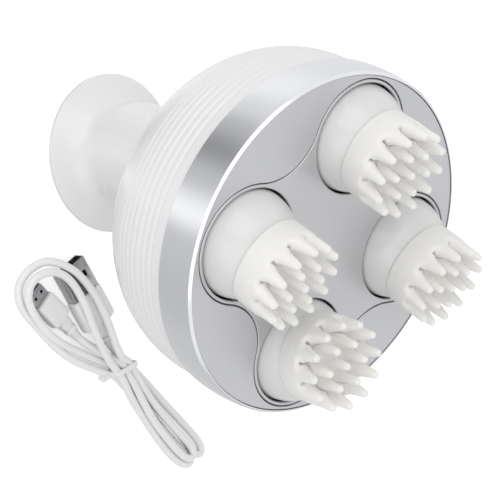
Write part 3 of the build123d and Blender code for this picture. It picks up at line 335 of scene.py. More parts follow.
def mesh_of(curve):
    """Mesh that a curve describes."""
    drawn = bpy.data.objects.new(curve.name, curve)
    mesh = bpy.data.meshes.new_from_object(drawn)
    bpy.data.objects.remove(drawn)
    return mesh


def bar(name, kind, spots, radius, roundness):
    """Curve of a round bar along some places, and the spline in it."""
    curve = bpy.data.curves.new(name, "CURVE")
    curve.dimensions = "3D"
    curve.bevel_depth = radius
    curve.bevel_resolution = roundness
    curve.use_fill_caps = True
    spline = curve.splines.new(kind)
    spline.points.add(len(spots) - 1)
    for point, spot in zip(spline.points, spots):
        point.co = (*spot, 1)
    return curve, spline


def flat_mesh(name, outlines, place, thickness, edge, steps=0):
    """Plate between closed outlines in front of its place, its edges chamfered or rounded."""
    curve = bpy.data.curves.new(name, "CURVE")
    curve.dimensions = "2D"
    curve.fill_mode = "BOTH"
    curve.extrude = thickness / 2 - edge
    curve.bevel_depth = edge
    curve.bevel_resolution = steps
    curve.offset = -edge
    for outline in outlines:
        spline = curve.splines.new("POLY")
        spline.points.add(len(outline) - 1)
        spline.use_cyclic_u = True
        for point, (x, y) in zip(spline.points, outline):
            point.co = (x, y, 0, 1)
    mesh = mesh_of(curve)
    mesh.transform(place @ Matrix.Translation((0, 0, thickness / 2)))
    mesh.name = name
    return mesh


def flat_piece(name, outlines, place, thickness, edge):
    """Object of a chamfered plate between closed outlines."""
    return add_object(name, flat_mesh(name, outlines, place, thickness, edge))


def lofted_mesh(name, sections, place, sides):
    """Closed body through sections of (along x, half width, half height, squareness)."""
    build = bmesh.new()
    rings = []
    for along, wide, high, squareness in sections:
        ring = []
        for index in range(sides):
            angle = 2 * pi * (index + 0.5) / sides
            across, up = cos(angle), sin(angle)
            power = 2 / squareness
            y = wide * abs(across) ** power * (1 if across > 0 else -1)
            z = high * abs(up) ** power * (1 if up > 0 else -1)
            ring.append(build.verts.new(place @ Vector((along, y, z))))
        rings.append(ring)
    for low, high in zip(rings, rings[1:]):
        for index in range(sides):
            build.faces.new((low[index - 1], low[index], high[index], high[index - 1]))
    build.faces.new(rings[0])
    build.faces.new(rings[-1])
    return mesh_from(name, build)


def seat(piece, node):
    """Let a piece stand for a node: its finish, its body and its slot."""
    piece.data.materials.append(finish(slot_of[node]))
    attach(piece, body_of[node])
    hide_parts(node)
    return piece


def break_edges(node, name, width):
    """Copy of a small node with its edges broken, which stands for it."""
    build = bmesh.new()
    build.from_mesh(frame["nodes"][node].data)
    bmesh.ops.remove_doubles(build, verts=build.verts, dist=WELD_REACH)
    bmesh.ops.dissolve_limit(build, angle_limit=FLAT_ANGLE, verts=build.verts, edges=build.edges)
    sharp = [edge for edge in build.edges if edge.calc_face_angle(0) > BROKEN_ANGLE]
    bmesh.ops.bevel(
        build, geom=sharp, offset=width, segments=2, affect="EDGES", profile=0.5, clamp_overlap=True
    )
    return seat(add_object(name, mesh_from(name, build)), node)


# ---- effects shared by the finishes ---------------------------------------------
def add_node(tree, kind, inputs=None, **settings):
    """Node with its settings; each input takes a value, or a socket that it is linked to."""
    node = tree.nodes.new(kind)
    for name, value in settings.items():
        setattr(node, name, value)
    for name, value in (inputs or {}).items():
        if isinstance(value, bpy.types.NodeSocket):
            tree.links.new(value, node.inputs[name])
        else:
            node.inputs[name].default_value = value
    return node


def new_material(name):
    """Material with its node tree and its shader."""
    material = bpy.data.materials.new(name)
    material.use_nodes = True
    return material, material.node_tree, material.node_tree.nodes["Principled BSDF"]


def new_group(name, inputs, outputs):
    """Empty shader node group with named numbers as inputs and outputs."""
    group = bpy.data.node_groups.new(name, "ShaderNodeTree")
    for label, value in inputs.items():
        socket = group.interface.new_socket(label, in_out="INPUT", socket_type="NodeSocketFloat")
        socket.default_value = value
    for label in outputs:
        group.interface.new_socket(label, in_out="OUTPUT", socket_type="NodeSocketFloat")
    return group, group.nodes.new("NodeGroupInput"), group.nodes.new("NodeGroupOutput")


def object_noise(group, entry, detail):
    """Noise that keeps its place on the object, at the scale that the group is given."""
    place = add_node(group, "ShaderNodeTexCoord")
    inputs = {
        "Vector": place.outputs["Object"],
        "Scale": entry.outputs["Scale"],
        "Detail": detail,
    }
    return add_node(group, "ShaderNodeTexNoise", inputs).outputs["Fac"]


def cloudy_group():
    """Slow, faint unevenness: a value around 1 and a mask from 0 to 1."""
    name = "Cloudy Tone"
    if name in bpy.data.node_groups:
        return bpy.data.node_groups[name]
    group, entry, leave = new_group(name, {"Scale": 60.0, "Amount": 0.02}, ("Tone", "Mask"))
    noise = object_noise(group, entry, 3)
    middle = add_node(group, "ShaderNodeMath", {0: noise, 1: 0.5}, operation="SUBTRACT")
    inputs = {0: middle.outputs[0], 1: entry.outputs["Amount"], 2: 1.0}
    spread = add_node(group, "ShaderNodeMath", inputs, operation="MULTIPLY_ADD")
    group.links.new(spread.outputs[0], leave.inputs["Tone"])
    group.links.new(noise, leave.inputs["Mask"])
    return group


def grain_group():
    """Fine moulded grain as a height."""
    name = "Moulded Grain"
    if name in bpy.data.node_groups:
        return bpy.data.node_groups[name]
    group, entry, leave = new_group(name, {"Scale": 2500.0}, ("Height",))
    group.links.new(object_noise(group, entry, 2), leave.inputs["Height"])
    return group


# ---- finishes -------------------------------------------------------------------
MASK_LOW, MASK_HIGH = 0.3, 0.7  # the part of the cloudy mask over which roughness wanders
ROUGHER = 0.12  # how far it wanders, as a share of the roughness

COATED = {"Coat Weight": 0.35, "Coat Roughness": 0.08}
SOFT = {
    "Subsurface Weight": 0.35,
    "Subsurface Radius": (0.004, 0.0037, 0.0033),
    "Subsurface Scale": 0.5,
    "Specular IOR Level": 0.4,
}
VINYL = {"Subsurface Weight": 0.08, "Subsurface Radius": (0.002, 0.002, 0.002)}
METAL = {"Metallic": 1.0}

# For each slot: colour, roughness, cloudiness (scale, amount), grain (scale, depth in
# millimetres) and the shader's other sockets. A colour or roughness that is given by
# name is a setting.
FINISHES = {
    # gloss mouldings
    "shell": ("shell_colour", "shell_roughness", (35, 0.012), (420, 0.01), COATED),
    # the cups are the same moulding as the shell but take a darker white, a painted shade for the shade cast on
    # them by the claw caps and the other heads
    "cup": ("cup_colour", "shell_roughness", (35, 0.012), (420, 0.01), COATED),
    # satin mouldings
    "end_cap": ("shell_colour", 0.38, (80, 0.02), (1800, 0.01), {}),
    "overmould": ("shell_colour", 0.38, (80, 0.02), (1800, 0.01), {}),
    # silver paint with fine metal flakes in it, and bright plating
    "face": ("face_colour", "face_roughness", (22, 0.03), (6000, 0.004), {"Metallic": 0.6}),
    "ring": ("ring_colour", "ring_roughness", (18, 0.03), None, METAL),
    # soft, slightly translucent silicone, and the firmer silicone of the socket's cover
    "claw": ("claw_colour", "claw_roughness", (120, 0.02), (3000, 0.008), SOFT),
    "port_cover": ((0.55, 0.55, 0.56), 0.6, (90, 0.04), (2500, 0.01), {}),
    # button and its frosted light guide
    "button": ((0.62, 0.63, 0.66), 0.3, (90, 0.03), None, {"Metallic": 0.4}),
    "light": ((0.85, 0.87, 0.9), 0.45, (90, 0.02), None, {"Transmission Weight": 0.3}),
    # black disc behind the face, and unpainted inner mouldings
    "carrier": ((0.02, 0.02, 0.022), 0.5, (90, 0.2), (2500, 0.01), {}),
    "gearbox": ((0.62, 0.62, 0.60), 0.55, (60, 0.05), (2500, 0.01), {}),
    # works: acetal, turned steel, sintered bronze and nitrile
    "gear": ((0.80, 0.78, 0.72), 0.4, (90, 0.04), None, {"Subsurface Weight": 0.1}),
    "steel": ((0.56, 0.56, 0.57), 0.32, (300, 0.08), None, METAL),
    "bush": ((0.60, 0.44, 0.22), 0.45, (600, 0.15), None, METAL),
    "seal": ((0.03, 0.03, 0.03), 0.6, (200, 0.2), None, {}),
    # control board with its solder mask, switch, and the sleeve of the cell
    "board": ((0.03, 0.22, 0.09), 0.3, (400, 0.2), None, {}),
    "electronics": ((0.05, 0.05, 0.05), 0.45, (200, 0.2), None, {}),
    "battery": ((0.05, 0.22, 0.5), 0.25, (90, 0.06), None, {}),
    # vinyl lead, nickel-plated plugs and plastic tie
    "lead": ("lead_colour", "lead_roughness", (150, 0.03), (2200, 0.012), VINYL),
    "plug_metal": ((0.42, 0.42, 0.44), 0.26, (350, 0.12), None, METAL),
    "tie": ("lead_colour", 0.3, (300, 0.03), None, {}),
}


def finish(slot):
    """The material of a slot, built the first time that it is asked for."""
    name = "massager_" + slot
    if name in bpy.data.materials:
        return bpy.data.materials[name]
    settings = bpy.context.scene.massager_finish
    colour, roughness, cloud, grain, sockets = FINISHES[slot]
    if isinstance(colour, str):
        colour = getattr(settings, colour)
    if isinstance(roughness, str):
        roughness = getattr(settings, roughness)
    return uneven(name, colour, roughness, cloud, grain, sockets)


def uneven(name, colour, roughness, cloud, grain, sockets):
    """Material whose tone and roughness wander; constants go on the shader's own sockets."""
    material, tree, shader = new_material(name)
    for socket, value in sockets.items():
        shader.inputs[socket].default_value = value
    scale, amount = cloud
    inputs = {"Scale": scale, "Amount": amount}
    cloudy = add_node(tree, "ShaderNodeGroup", inputs, node_tree=cloudy_group())
    inputs = {0: colour, "Scale": cloudy.outputs["Tone"]}
    tone = add_node(tree, "ShaderNodeVectorMath", inputs, operation="SCALE")
    inputs = {
        "Value": cloudy.outputs["Mask"],
        "From Min": MASK_LOW,
        "From Max": MASK_HIGH,
        "To Min": roughness * (1 - ROUGHER),
        "To Max": roughness * (1 + ROUGHER),
    }
    gloss = add_node(tree, "ShaderNodeMapRange", inputs)
    tree.links.new(tone.outputs[0], shader.inputs["Base Color"])
    tree.links.new(gloss.outputs["Result"], shader.inputs["Roughness"])
    if grain:
        scale, depth = grain
        grainy = add_node(tree, "ShaderNodeGroup", {"Scale": scale}, node_tree=grain_group())
        inputs = {"Height": grainy.outputs["Height"], "Strength": 1.0, "Distance": depth * MM}
        bump = add_node(tree, "ShaderNodeBump", inputs)
        tree.links.new(bump.outputs["Normal"], shader.inputs["Normal"])
    return material


# ---- handle ---------------------------------------------------------------------
HANDLE_SIDES, BODY_SIDES, HOLE_SIDES = 192, 256, 128  # faces round them
PARTING_GAP = 0.06 * MM  # the handle and the dome each stand this far off their parting line
PARTING_GUARD = 0.6 * MM  # length beside that line that is kept straight
LAP_WALL = 0.9 * MM  # tongue of the handle inside the dome's neck
LAP_DEPTH = 3.0 * MM
LAP_GAP = 0.05 * MM
CAP_THICKNESS = 1.8 * MM
CAP_LEDGE = 1.2 * MM  # on which the end cap is seated
BORE_REACH = 3.8 * MM  # how far the bore runs in from the cap's seat before it turns up
FLARE_START = (0.1 * MM, 0.05 * MM)  # of the flare's curve, in from the rim and above it
RIM_CORNERS = (0.4 * MM, 0.45 * MM, 0.35 * MM)  # roundings from the foot up
SOFT_CORNER = 0.12 * MM  # usual rounding of a hard moulding's edge
# how far the edges of the end cap and of the socket's cover are broken
CAP_EDGE, COVER_EDGE = 0.15 * MM, 0.2 * MM


def handle_axis(elbow_radius):
    """Function that gives the ring plane at a length along the handle's bent axis."""
    elbow_start = bend.z - elbow_radius * tan(body_lean / 2)
    hinge = Matrix.Translation((0, -elbow_radius, elbow_start))

    def place(height):
        turned = min(max((height - elbow_start) / elbow_radius, 0), body_lean)
        beyond = max(height - elbow_start - elbow_radius * body_lean, 0)
        straight = Matrix.Translation((0, 0, min(height, elbow_start) + beyond))
        return hinge @ Matrix.Rotation(turned, 4, "X") @ hinge.inverted() @ straight

    return elbow_start, place


class MASSAGER_OT_handle(bpy.types.Operator):
    """Build the flared handle with its bent neck"""

    bl_idname = "massager.handle"
    bl_label = "Handle"

    def execute(self, context):
        size = context.scene.massager_handle
        elbow_start, place = handle_axis(size.elbow_radius)
        elbow_end = elbow_start + size.elbow_radius * body_lean
        parting = elbow_end + size.parting - size.elbow_radius * tan(body_lean / 2)
        inside = size.waist_radius - size.waist_wall
        tongue = inside + LAP_WALL
        cap_top = size.dish_depth + CAP_THICKNESS
        flare = bezier(
            (size.rim_radius - FLARE_START[0], size.rim_land + FLARE_START[1]),
            (size.rim_radius - size.flare_reach, size.rim_land + size.flare_rise),
            (size.waist_radius, elbow_start - size.flare_neck),
            (size.waist_radius, elbow_start),
            40,
        )
        steps = 14
        elbow = [elbow_start + (elbow_end - elbow_start) * i / steps for i in range(1, steps + 1)]
        bore = bezier(
            (inside, elbow_start),
            (inside, elbow_start - size.flare_neck),
            (size.cap_seat - BORE_REACH, cap_top + size.flare_rise / 2),
            (size.cap_seat - CAP_LEDGE, cap_top),
            20,
        )
        outline = rounded(
            [
                (size.cap_seat, size.dish_depth),
                (size.rim_radius - size.dish_lip, 0, RIM_CORNERS[0]),
                (size.rim_radius, 0, RIM_CORNERS[1]),
                (size.rim_radius, size.rim_land, RIM_CORNERS[2]),
                *flare[2:],
                *[(size.waist_radius, height) for height in elbow],
                (size.waist_radius, parting - PARTING_GUARD),
                (size.waist_radius, parting - PARTING_GAP, SOFT_CORNER),
                (tongue, parting - PARTING_GAP),
                (tongue, parting + LAP_DEPTH),
                (inside, parting + LAP_DEPTH),
                *[(inside, height) for height in reversed(elbow)],
                *bore,
                (size.cap_seat, cap_top),
            ]
        )
        seat(turned_piece("handle", outline, place, HANDLE_SIDES), "handle_shell")
        return {"FINISHED"}


class MASSAGER_OT_handle_end(bpy.types.Operator):
    """Build the end cap and the socket's cover with broken edges"""

    bl_idname = "massager.handle_end"
    bl_label = "Handle end"

    def execute(self, context):
        break_edges("handle_end_cap", "end_cap", CAP_EDGE)
        break_edges("port_cover", "socket_cover", COVER_EDGE)
        return {"FINISHED"}


# ---- dome, ring and face --------------------------------------------------------
HALVINGS = 50  # in the search for the place where the waist's fillet touches the dome
SHOULDER_GUARD = 1 * MM  # length over the dome's shoulder that is kept straight
DOME_EDGE = 0.25 * MM  # chamfer beside the ring
DOME_INNER_TOP = 74.5 * MM  # station where the dome's wall meets its spigot
SPIGOT_INSET = 1.9 * MM  # the ring's seat, inside the dome
SPIGOT_WALL = 1.8 * MM
SPIGOT_FOOT = 76.5 * MM
SPIGOT_LENGTH = 6 * MM
CARRIER_THICKNESS = 1.8 * MM
RING_FIT = 0.15 * MM  # between the ring and what it is pushed onto
RING_BACK_CHAMFER = 0.3 * MM
CLOVER_EDGE = 1.5  # chamfer of the clover plate, in chamfers of the trim plate


def dome_curve(size, inset, waist, fillet, top):
    """Outline of the dome from a top station down over its edge to the waist."""
    wide = size.dome_radius - inset
    deep = size.dome_depth - inset

    def on_dome(angle):
        return Vector((wide * cos(angle), size.dome_shoulder - deep * sin(angle)))

    def outward(angle):
        return Vector((cos(angle) / wide, -sin(angle) / deep)).normalized()

    def clearance(angle):
        """Gap between the waist's fillet and the waist, if it touches the dome here."""
        return on_dome(angle).x + outward(angle).x * fillet - (waist + fillet)

    low, high = 0.0, pi / 2
    for _ in range(HALVINGS):
        middle = (low + high) / 2
        if clearance(middle) > 0:
            low = middle
        else:
            high = middle
    centre = on_dome(low) + outward(low) * fillet
    points = [(wide, top), (wide, size.dome_shoulder + SHOULDER_GUARD)]
    steps = 64
    points += [tuple(on_dome(low * step / steps)) for step in range(steps + 1)]
    touch = on_dome(low) - centre
    start = Vector((1, 0)).angle_signed(touch) * -1
    points += arc(centre, fillet, start, pi, 12)[1:]
    return points


def grooved(points, size):
    """The dome's outline with the grip grooves cut into it."""
    deepest = size.rib_first - (size.rib_count - 1) * size.rib_pitch - 2 * size.rib_width
    curve = [point for point in points if point[1] < deepest]
    steps = 10
    fine = []
    height = points[0][1]
    spacing = size.rib_pitch / (2 * steps)
    while height > deepest:
        drop = max(0.0, size.dome_shoulder - height)
        radius = size.dome_radius * sqrt(1 - (drop / size.dome_depth) ** 2)
        nearest = round((size.rib_first - height) / size.rib_pitch)
        nearest = min(max(nearest, 0), size.rib_count - 1)
        away = abs(height - size.rib_first + nearest * size.rib_pitch) / size.rib_width
        cut = size.rib_depth * 0.5 * (1 + cos(pi * away)) if away < 1 else 0
        fine.append((radius - cut, height))
        height -= spacing
    return fine + curve


class MASSAGER_OT_dome(bpy.types.Operator):
    """Build the dome with its grip grooves"""

    bl_idname = "massager.dome"
    bl_label = "Dome"

    def execute(self, context):
        size = context.scene.massager_body
        handle = context.scene.massager_handle
        spigot = size.dome_radius - SPIGOT_INSET
        spigot_top = size.ring_back + SPIGOT_LENGTH
        waist, fillet = handle.waist_radius, size.waist_fillet
        inside = waist - handle.waist_wall
        outer = grooved(dome_curve(size, 0, waist, fillet, size.ring_back - DOME_EDGE), size)
        inner = dome_curve(size, size.wall, inside, fillet + size.wall, DOME_INNER_TOP)
        foot = handle.parting + PARTING_GAP
        lap = inside + (LAP_WALL + LAP_GAP)
        lap_top = foot + (LAP_DEPTH + LAP_GAP)
        outline = rounded(
            [
                (spigot, spigot_top),
                (spigot, size.ring_back),
                (size.dome_radius - DOME_EDGE, size.ring_back),
                *outer,
                (waist, foot + PARTING_GUARD),
                (waist, foot, SOFT_CORNER),
                (lap, foot),
                (lap, lap_top),
                (inside, lap_top),
                *reversed(inner),
                (spigot - SPIGOT_WALL, SPIGOT_FOOT),
                (spigot - SPIGOT_WALL, spigot_top),
            ]
        )
        seat(turned_piece("dome", outline, body_place, BODY_SIDES), "dome_shell")
        return {"FINISHED"}


class MASSAGER_OT_ring(bpy.types.Operator):
    """Build the bright ring round the face"""

    bl_idname = "massager.ring"
    bl_label = "Ring"

    def execute(self, context):
        size = context.scene.massager_body
        lip = size.face + size.ring_proud
        back = size.ring_back
        seat_radius = size.face_radius + RING_FIT
        spigot = size.dome_radius - SPIGOT_INSET + RING_FIT
        carrier_back = size.face - size.face_thickness - CARRIER_THICKNESS
        low = back + RING_BACK_CHAMFER
        high = lip - size.ring_chamfer
        side = []
        steps = 16
        for step in range(1, steps):
            t = step / steps
            bulge = 4 * t * (1 - t) * size.ring_bulge
            radius = size.ring_back_radius + (size.ring_front_radius - size.ring_back_radius) * t
            side.append((radius + bulge, low + (high - low) * t))
        outline = rounded(
            [
                (size.ring_back_radius, low, SOFT_CORNER),
                *side,
                (size.ring_front_radius, high, SOFT_CORNER * 1.5),
                (size.ring_front_radius - size.ring_chamfer, lip, SOFT_CORNER),
                (seat_radius, lip, SOFT_CORNER / 2),
                (seat_radius, carrier_back),
                (spigot, carrier_back),
                (spigot, back),
                (size.ring_back_radius - RING_BACK_CHAMFER, back),
            ]
        )
        seat(turned_piece("ring", outline, body_place, BODY_SIDES), "silver_ring")
        return {"FINISHED"}


def clover_outline(size, inset):
    """Four round lobes joined by hollow arcs, drawn in by an inset."""
    circle, waist, lobe = size.head_circle, size.clover_waist, size.lobe_radius
    root = sqrt(2)
    above = root * circle * waist + lobe**2 - waist**2 - circle**2
    hollow = above / (2 * waist - root * circle - 2 * lobe)
    corner = (waist + hollow) / root
    lobe_end = np.arctan2(corner, corner - circle)
    dip_start = np.arctan2(-corner, circle - corner)
    dip_end = np.arctan2(circle - corner, -corner)
    if dip_end > dip_start:
        dip_end -= 2 * pi
    quarter = arc((circle, 0), lobe - inset, -lobe_end, lobe_end, 48)
    quarter += arc((corner, corner), hollow + inset, dip_start, dip_end, 32)[1:-1]
    outline = []
    for index in range(4):
        place = Matrix.Rotation(index * pi / 2, 2)
        outline += [tuple(place @ Vector(point)) for point in quarter]
    return outline


class MASSAGER_OT_face(bpy.types.Operator):
    """Build the two face plates"""

    bl_idname = "massager.face"
    bl_label = "Face"

    def execute(self, context):
        size = context.scene.massager_body
        place = body_place @ Matrix.Translation((0, 0, size.face - size.face_thickness))
        edge = circle((0, 0), size.face_radius, BODY_SIDES)
        trim = flat_piece(
            "trim", [edge, clover_outline(size, 0)], place, size.face_thickness, size.plate_edge
        )
        seat(trim, "trim_plate")
        centres = circle((0, 0), size.head_circle, 4)
        holes = [circle(centre, size.head_hole, HOLE_SIDES) for centre in centres]
        clover = flat_piece(
            "clover",
            [clover_outline(size, size.clover_gap), *holes],
            place,
            size.face_thickness,
            size.plate_edge * CLOVER_EDGE,
        )
        seat(clover, "clover_plate")
        return {"FINISHED"}


# ---- heads ----------------------------------------------------------------------
CUP_SIDES = 144
CROWN_SIDES, PRONG_SIDES = 96, 20  # of the rough solids that the claw caps grow from
SLIP_GAP = 0.05 * MM  # between a cup and its claw cap
CUP_CORNER = 0.3 * MM
SPIGOT_REST = 0.3 * MM  # between the cup's spigot and the claw cap's roof
CUP_FLOOR = 2 * MM
CUP_BOSS = 5.6 * MM  # radius of the boss that takes the spindle
PRONG_SINK = 0.3 * MM  # the prongs start this far inside the roof
PRONG_CUT = 0.35 * MM  # and nothing of them is left under this height of it

# lean of each spindle's end, the way that it leans, and the turn of its prongs
HEAD_ANGLES = {
    "right": (15.0, -59.0, -2.5),
    "back": (11.0, -66.0, 8.5),
    "left": (17.0, -47.0, 18.0),
    "front": (10.0, 118.0, 18.0),
}


def head_place(name):
    """Matrix with a head's own axis as z and the bend of its spindle as origin."""
    lean, heading, _ = (radians(angle) for angle in HEAD_ANGLES[name])
    across = body_place.to_3x3() @ Vector((0, 1, 0))
    out = Vector((1, 0, 0)) * cos(heading) + across * sin(heading)
    axis = body_axis * cos(lean) + out * sin(lean)
    side = (Vector((1, 0, 0)) - axis * axis.x).normalized()
    turned = Matrix((side, axis.cross(side), axis)).transposed().to_4x4()
    return Matrix.Translation(joints[f"head_{name}_spin"]["pos_m"]) @ turned


def cup_outline(size):
    """Half section of a cup: round outside, with the spigot that takes the claw cap."""
    skirt, top = size.cup_skirt, size.cup_top
    inside = size.cup_radius - size.cup_wall
    spigot = size.claw_radius - size.claw_wall - SLIP_GAP
    spigot_top = size.claw_roof - size.roof_thickness - SPIGOT_REST
    floor = top - CUP_FLOOR
    low, high = asin(-skirt / size.cup_radius), asin(top / size.cup_radius)
    outside = arc((0, 0), size.cup_radius, low, high, 40)
    hollow = arc((0, 0), inside, asin(floor / inside), asin(-skirt / inside), 24)
    return rounded(
        [
            *outside[1:-1],
            (*outside[-1], CUP_CORNER),
            (spigot, top),
            (spigot, spigot_top),
            (spigot - size.cup_wall, spigot_top),
            (spigot - size.cup_wall, top),
            (0, top),
            (0, floor),
            (CUP_BOSS, floor),
            *hollow,
            outside[0],
        ]
    )


class MASSAGER_OT_cups(bpy.types.Operator):
    """Build the four round cups"""

    bl_idname = "massager.cups"
    bl_label = "Cups"

    def execute(self, context):
        outline = cup_outline(context.scene.massager_heads)
        for name in HEAD_ANGLES:
            cup = turned_piece(f"cup_of_{name}_head", outline, head_place(name), CUP_SIDES)
            seat(cup, f"cup_{name}")
        return {"FINISHED"}


def prong_list(size):
    """Foot, end, foot radius and end radius of every prong of a claw cap."""
    prongs = []

    def add(foot, end, tip, root_radius, point_radius):
        foot = np.array((*foot, size.claw_roof - PRONG_SINK))
        end = np.array((*end, tip - point_radius))
        prongs.append((foot, end, root_radius, point_radius))

    ring = size.claw_radius - size.outer_root
    feet, ends = (
        circle((0, 0), radius, size.outer_prongs) for radius in (ring, ring + size.outer_lean)
    )
    for foot, end in zip(feet, ends):
        add(foot, end, size.outer_tip, size.outer_root, size.outer_point)
    for spot in [(0, 0), *circle((0, 0), size.inner_circle, size.inner_prongs)]:
        add(spot, spot, size.inner_tip, size.inner_root, size.inner_point)
    return prongs


def cone_distance(points, foot, end, foot_radius, end_radius):
    """Distance of points from a cone with a ball at each end."""
    along = end - foot
    squared = along @ along
    narrowing = foot_radius - end_radius
    slant = squared - narrowing**2
    offset = points - foot
    height = offset @ along
    over = height - squared
    side = ((offset * squared - np.outer(height, along)) ** 2).sum(1)
    low, high = height**2 * squared, over**2 * squared
    edge = np.sign(narrowing) * narrowing**2 * side
    cone = (np.sqrt(side * slant / squared) + height * narrowing) / squared - foot_radius
    at_end = np.sqrt(side + high) / squared - end_radius
    at_foot = np.sqrt(side + low) / squared - foot_radius
    found = np.where(np.sign(height) * slant * low < edge, at_foot, cone)
    return np.where(np.sign(over) * slant * high > edge, at_end, found)


def band_distance(radius, height, inner, outer, low, high):
    """Distance from a band of rectangular section, in the (radius, height) plane."""
    across = np.abs(radius - (inner + outer) / 2) - (outer - inner) / 2
    along = np.abs(height - (low + high) / 2) - (high - low) / 2
    outside = np.hypot(np.maximum(across, 0), np.maximum(along, 0))
    return outside + np.minimum(np.maximum(across, along), 0)


def claw_levels(size):
    """Inside radius of the claw cap's wall, and the undersides of its roof and skirt."""
    wall_inside = size.claw_radius - size.claw_wall
    return wall_inside, size.claw_roof - size.roof_thickness, size.cup_top + SLIP_GAP


def claw_distance(points, size, prongs):
    """Distance of points from the claw cap, its prongs run into each other."""
    radius, height = np.hypot(points[:, 0], points[:, 1]), points[:, 2]
    wall_inside, roof_low, skirt_low = claw_levels(size)
    soft, outer = size.soft_edge, size.claw_radius - size.soft_edge
    wall = (wall_inside + soft, outer, skirt_low + soft, size.claw_crest - soft)
    roof = (0.0, outer, roof_low + soft, size.claw_roof - soft)
    bands = (band_distance(radius, height, *band) for band in (wall, roof))
    found = np.minimum(*bands) - soft
    web = size.web
    for prong in prongs:
        reach = np.maximum(cone_distance(points, *prong), roof_low + PRONG_CUT - height)
        blend = np.maximum(web - np.abs(found - reach), 0) / web
        found = np.minimum(found, reach) - blend**2 * web / 4
    # the outside stays one smooth, slightly flared wall, whatever runs into it
    outside = radius - size.claw_radius - size.flare * np.maximum(height - size.claw_crest, 0)
    rounding = size.outer_blend
    blend = np.maximum(rounding - np.abs(found - outside), 0) / rounding
    return np.maximum(found, outside) + blend**2 * rounding / 4


def claw_mesh(size):
    """Mesh of a claw cap: a rough union of its solids, drawn onto the smooth form."""
    prongs = prong_list(size)
    wall_inside, roof_low, skirt_low = claw_levels(size)
    crown = [
        (wall_inside, skirt_low),
        (size.claw_radius, skirt_low),
        (size.claw_radius, size.claw_crest),
        (wall_inside, size.claw_crest),
        (wall_inside, size.claw_roof),
        (0, size.claw_roof),
        (0, roof_low),
        (wall_inside, roof_low),
    ]
    build = bmesh.new()
    build.from_mesh(turned_mesh("crown", crown, Matrix.Identity(4), CROWN_SIDES))
    for foot, end, foot_radius, end_radius in prongs:
        rise = Vector(end - foot)
        tip = arc((0, rise.length), end_radius, 0, pi / 2, 5)
        outline = [(0, 0), (foot_radius, 0), *tip[:-1], (0, rise.length + end_radius)]
        place = Matrix.Translation(Vector(foot)) @ rise.to_track_quat("Z", "Y").to_matrix().to_4x4()
        build.from_mesh(turned_mesh("prong", outline, place, PRONG_SIDES))
    rough = bpy.data.objects.new("rough_claws", mesh_from("rough_claws", build))
    bpy.context.scene.collection.objects.link(rough)
    remesh = rough.modifiers.new("Remesh", "REMESH")
    remesh.mode = "VOXEL"
    remesh.voxel_size = size.grain
    even = rough.modifiers.new("Even", "SMOOTH")
    even.factor = 0.5
    even.iterations = 3
    graph = bpy.context.evaluated_depsgraph_get()
    mesh = bpy.data.meshes.new_from_object(rough.evaluated_get(graph))
    bpy.data.objects.remove(rough)
    draw_onto(mesh, lambda points: claw_distance(points, size, prongs), size.grain)
    return mesh


DRAW_ROUNDS = 4  # after which the points lie on the surface
LEAST_SLOPE = 0.3  # where the distance is flatter than this, steps are held short


def draw_onto(mesh, distance, grain):
    """Move the points of a mesh onto the surface where a distance is zero."""
    points = np.zeros(len(mesh.vertices) * 3)
    mesh.vertices.foreach_get("co", points)
    points = points.reshape(-1, 3)
    probe = grain / 10
    for _ in range(DRAW_ROUNDS):
        here = distance(points)
        slope = np.stack(
            [
                (distance(points + probe * axis) - distance(points - probe * axis)) / (2 * probe)
                for axis in np.eye(3)
            ],
            axis=1,
        )
        steep = np.maximum((slope**2).sum(1), LEAST_SLOPE)
        step = np.clip(here / steep, -grain, grain)
        points = points - slope * step[:, None]
    mesh.vertices.foreach_set("co", points.ravel())
    mesh.update()


class MASSAGER_OT_claw_caps(bpy.types.Operator):
    """Build the four silicone claw caps"""

    bl_idname = "massager.claw_caps"
    bl_label = "Claw caps"

    def execute(self, context):
        mesh = claw_mesh(context.scene.massager_heads)
        for name, (_, _, turn) in HEAD_ANGLES.items():
            copy = mesh.copy()
            copy.transform(head_place(name) @ Matrix.Rotation(radians(turn), 4, "Z"))
            seat(add_object(f"claws_of_{name}_head", copy), f"claw_cap_{name}")
        bpy.data.meshes.remove(mesh)
        return {"FINISHED"}


# ---- workings -------------------------------------------------------------------
class MASSAGER_OT_workings(bpy.types.Operator):
    """Finish the pieces that stay as they are: the works, the spindles and the button"""

    bl_idname = "massager.workings"
    bl_label = "Workings"

    def execute(self, context):
        for node, kind in slot_of.items():
            kept = frame["nodes"][node]
            if not kept.hide_render:
                for slot in kept.material_slots:
                    slot.material = finish(kind)
        return {"FINISHED"}


# ---- charging lead --------------------------------------------------------------
# places on the floor in millimetres, headings in degrees from +X
TIE_PLACE = (5.1, -75.6)
TIE_HEADING = -67.0
TAIL_HEADING = -42.14
# the tie's twisted ends run from the left side of the band out over the floor
TWIST_FOOT = (0.9, -77.2, 2.6)
TWIST_END = (-2.8, -79.7, 1.5)
TWIST_TURNS = 1.4
TIE_CORNER = 1.6 * MM
TIE_EDGE = 0.27 * MM
# for each plug: node, piece, tip, heading, length of its metal, its grip's length, width and
# height, and the length of its strain relief
PLUGS = (
    ("usb_a", "large_plug", (-20.4, -39.5), -53.6, 12.0, (17.0, 13.5, 6.2), 7.0),
    ("micro", "small_plug", (-34.4, -48.1), -39.0, 5.2, (14.0, 8.4, 5.0), 6.0),
)
PLUG_SIDES = 64
PLUG_EDGE = 0.1 * MM
NECK_WIDE, NECK_HIGH = 0.55, 0.86  # the neck's width and height, as shares of the grip's
NECK_WALL = 1.2  # the least by which the neck stands out of the lead
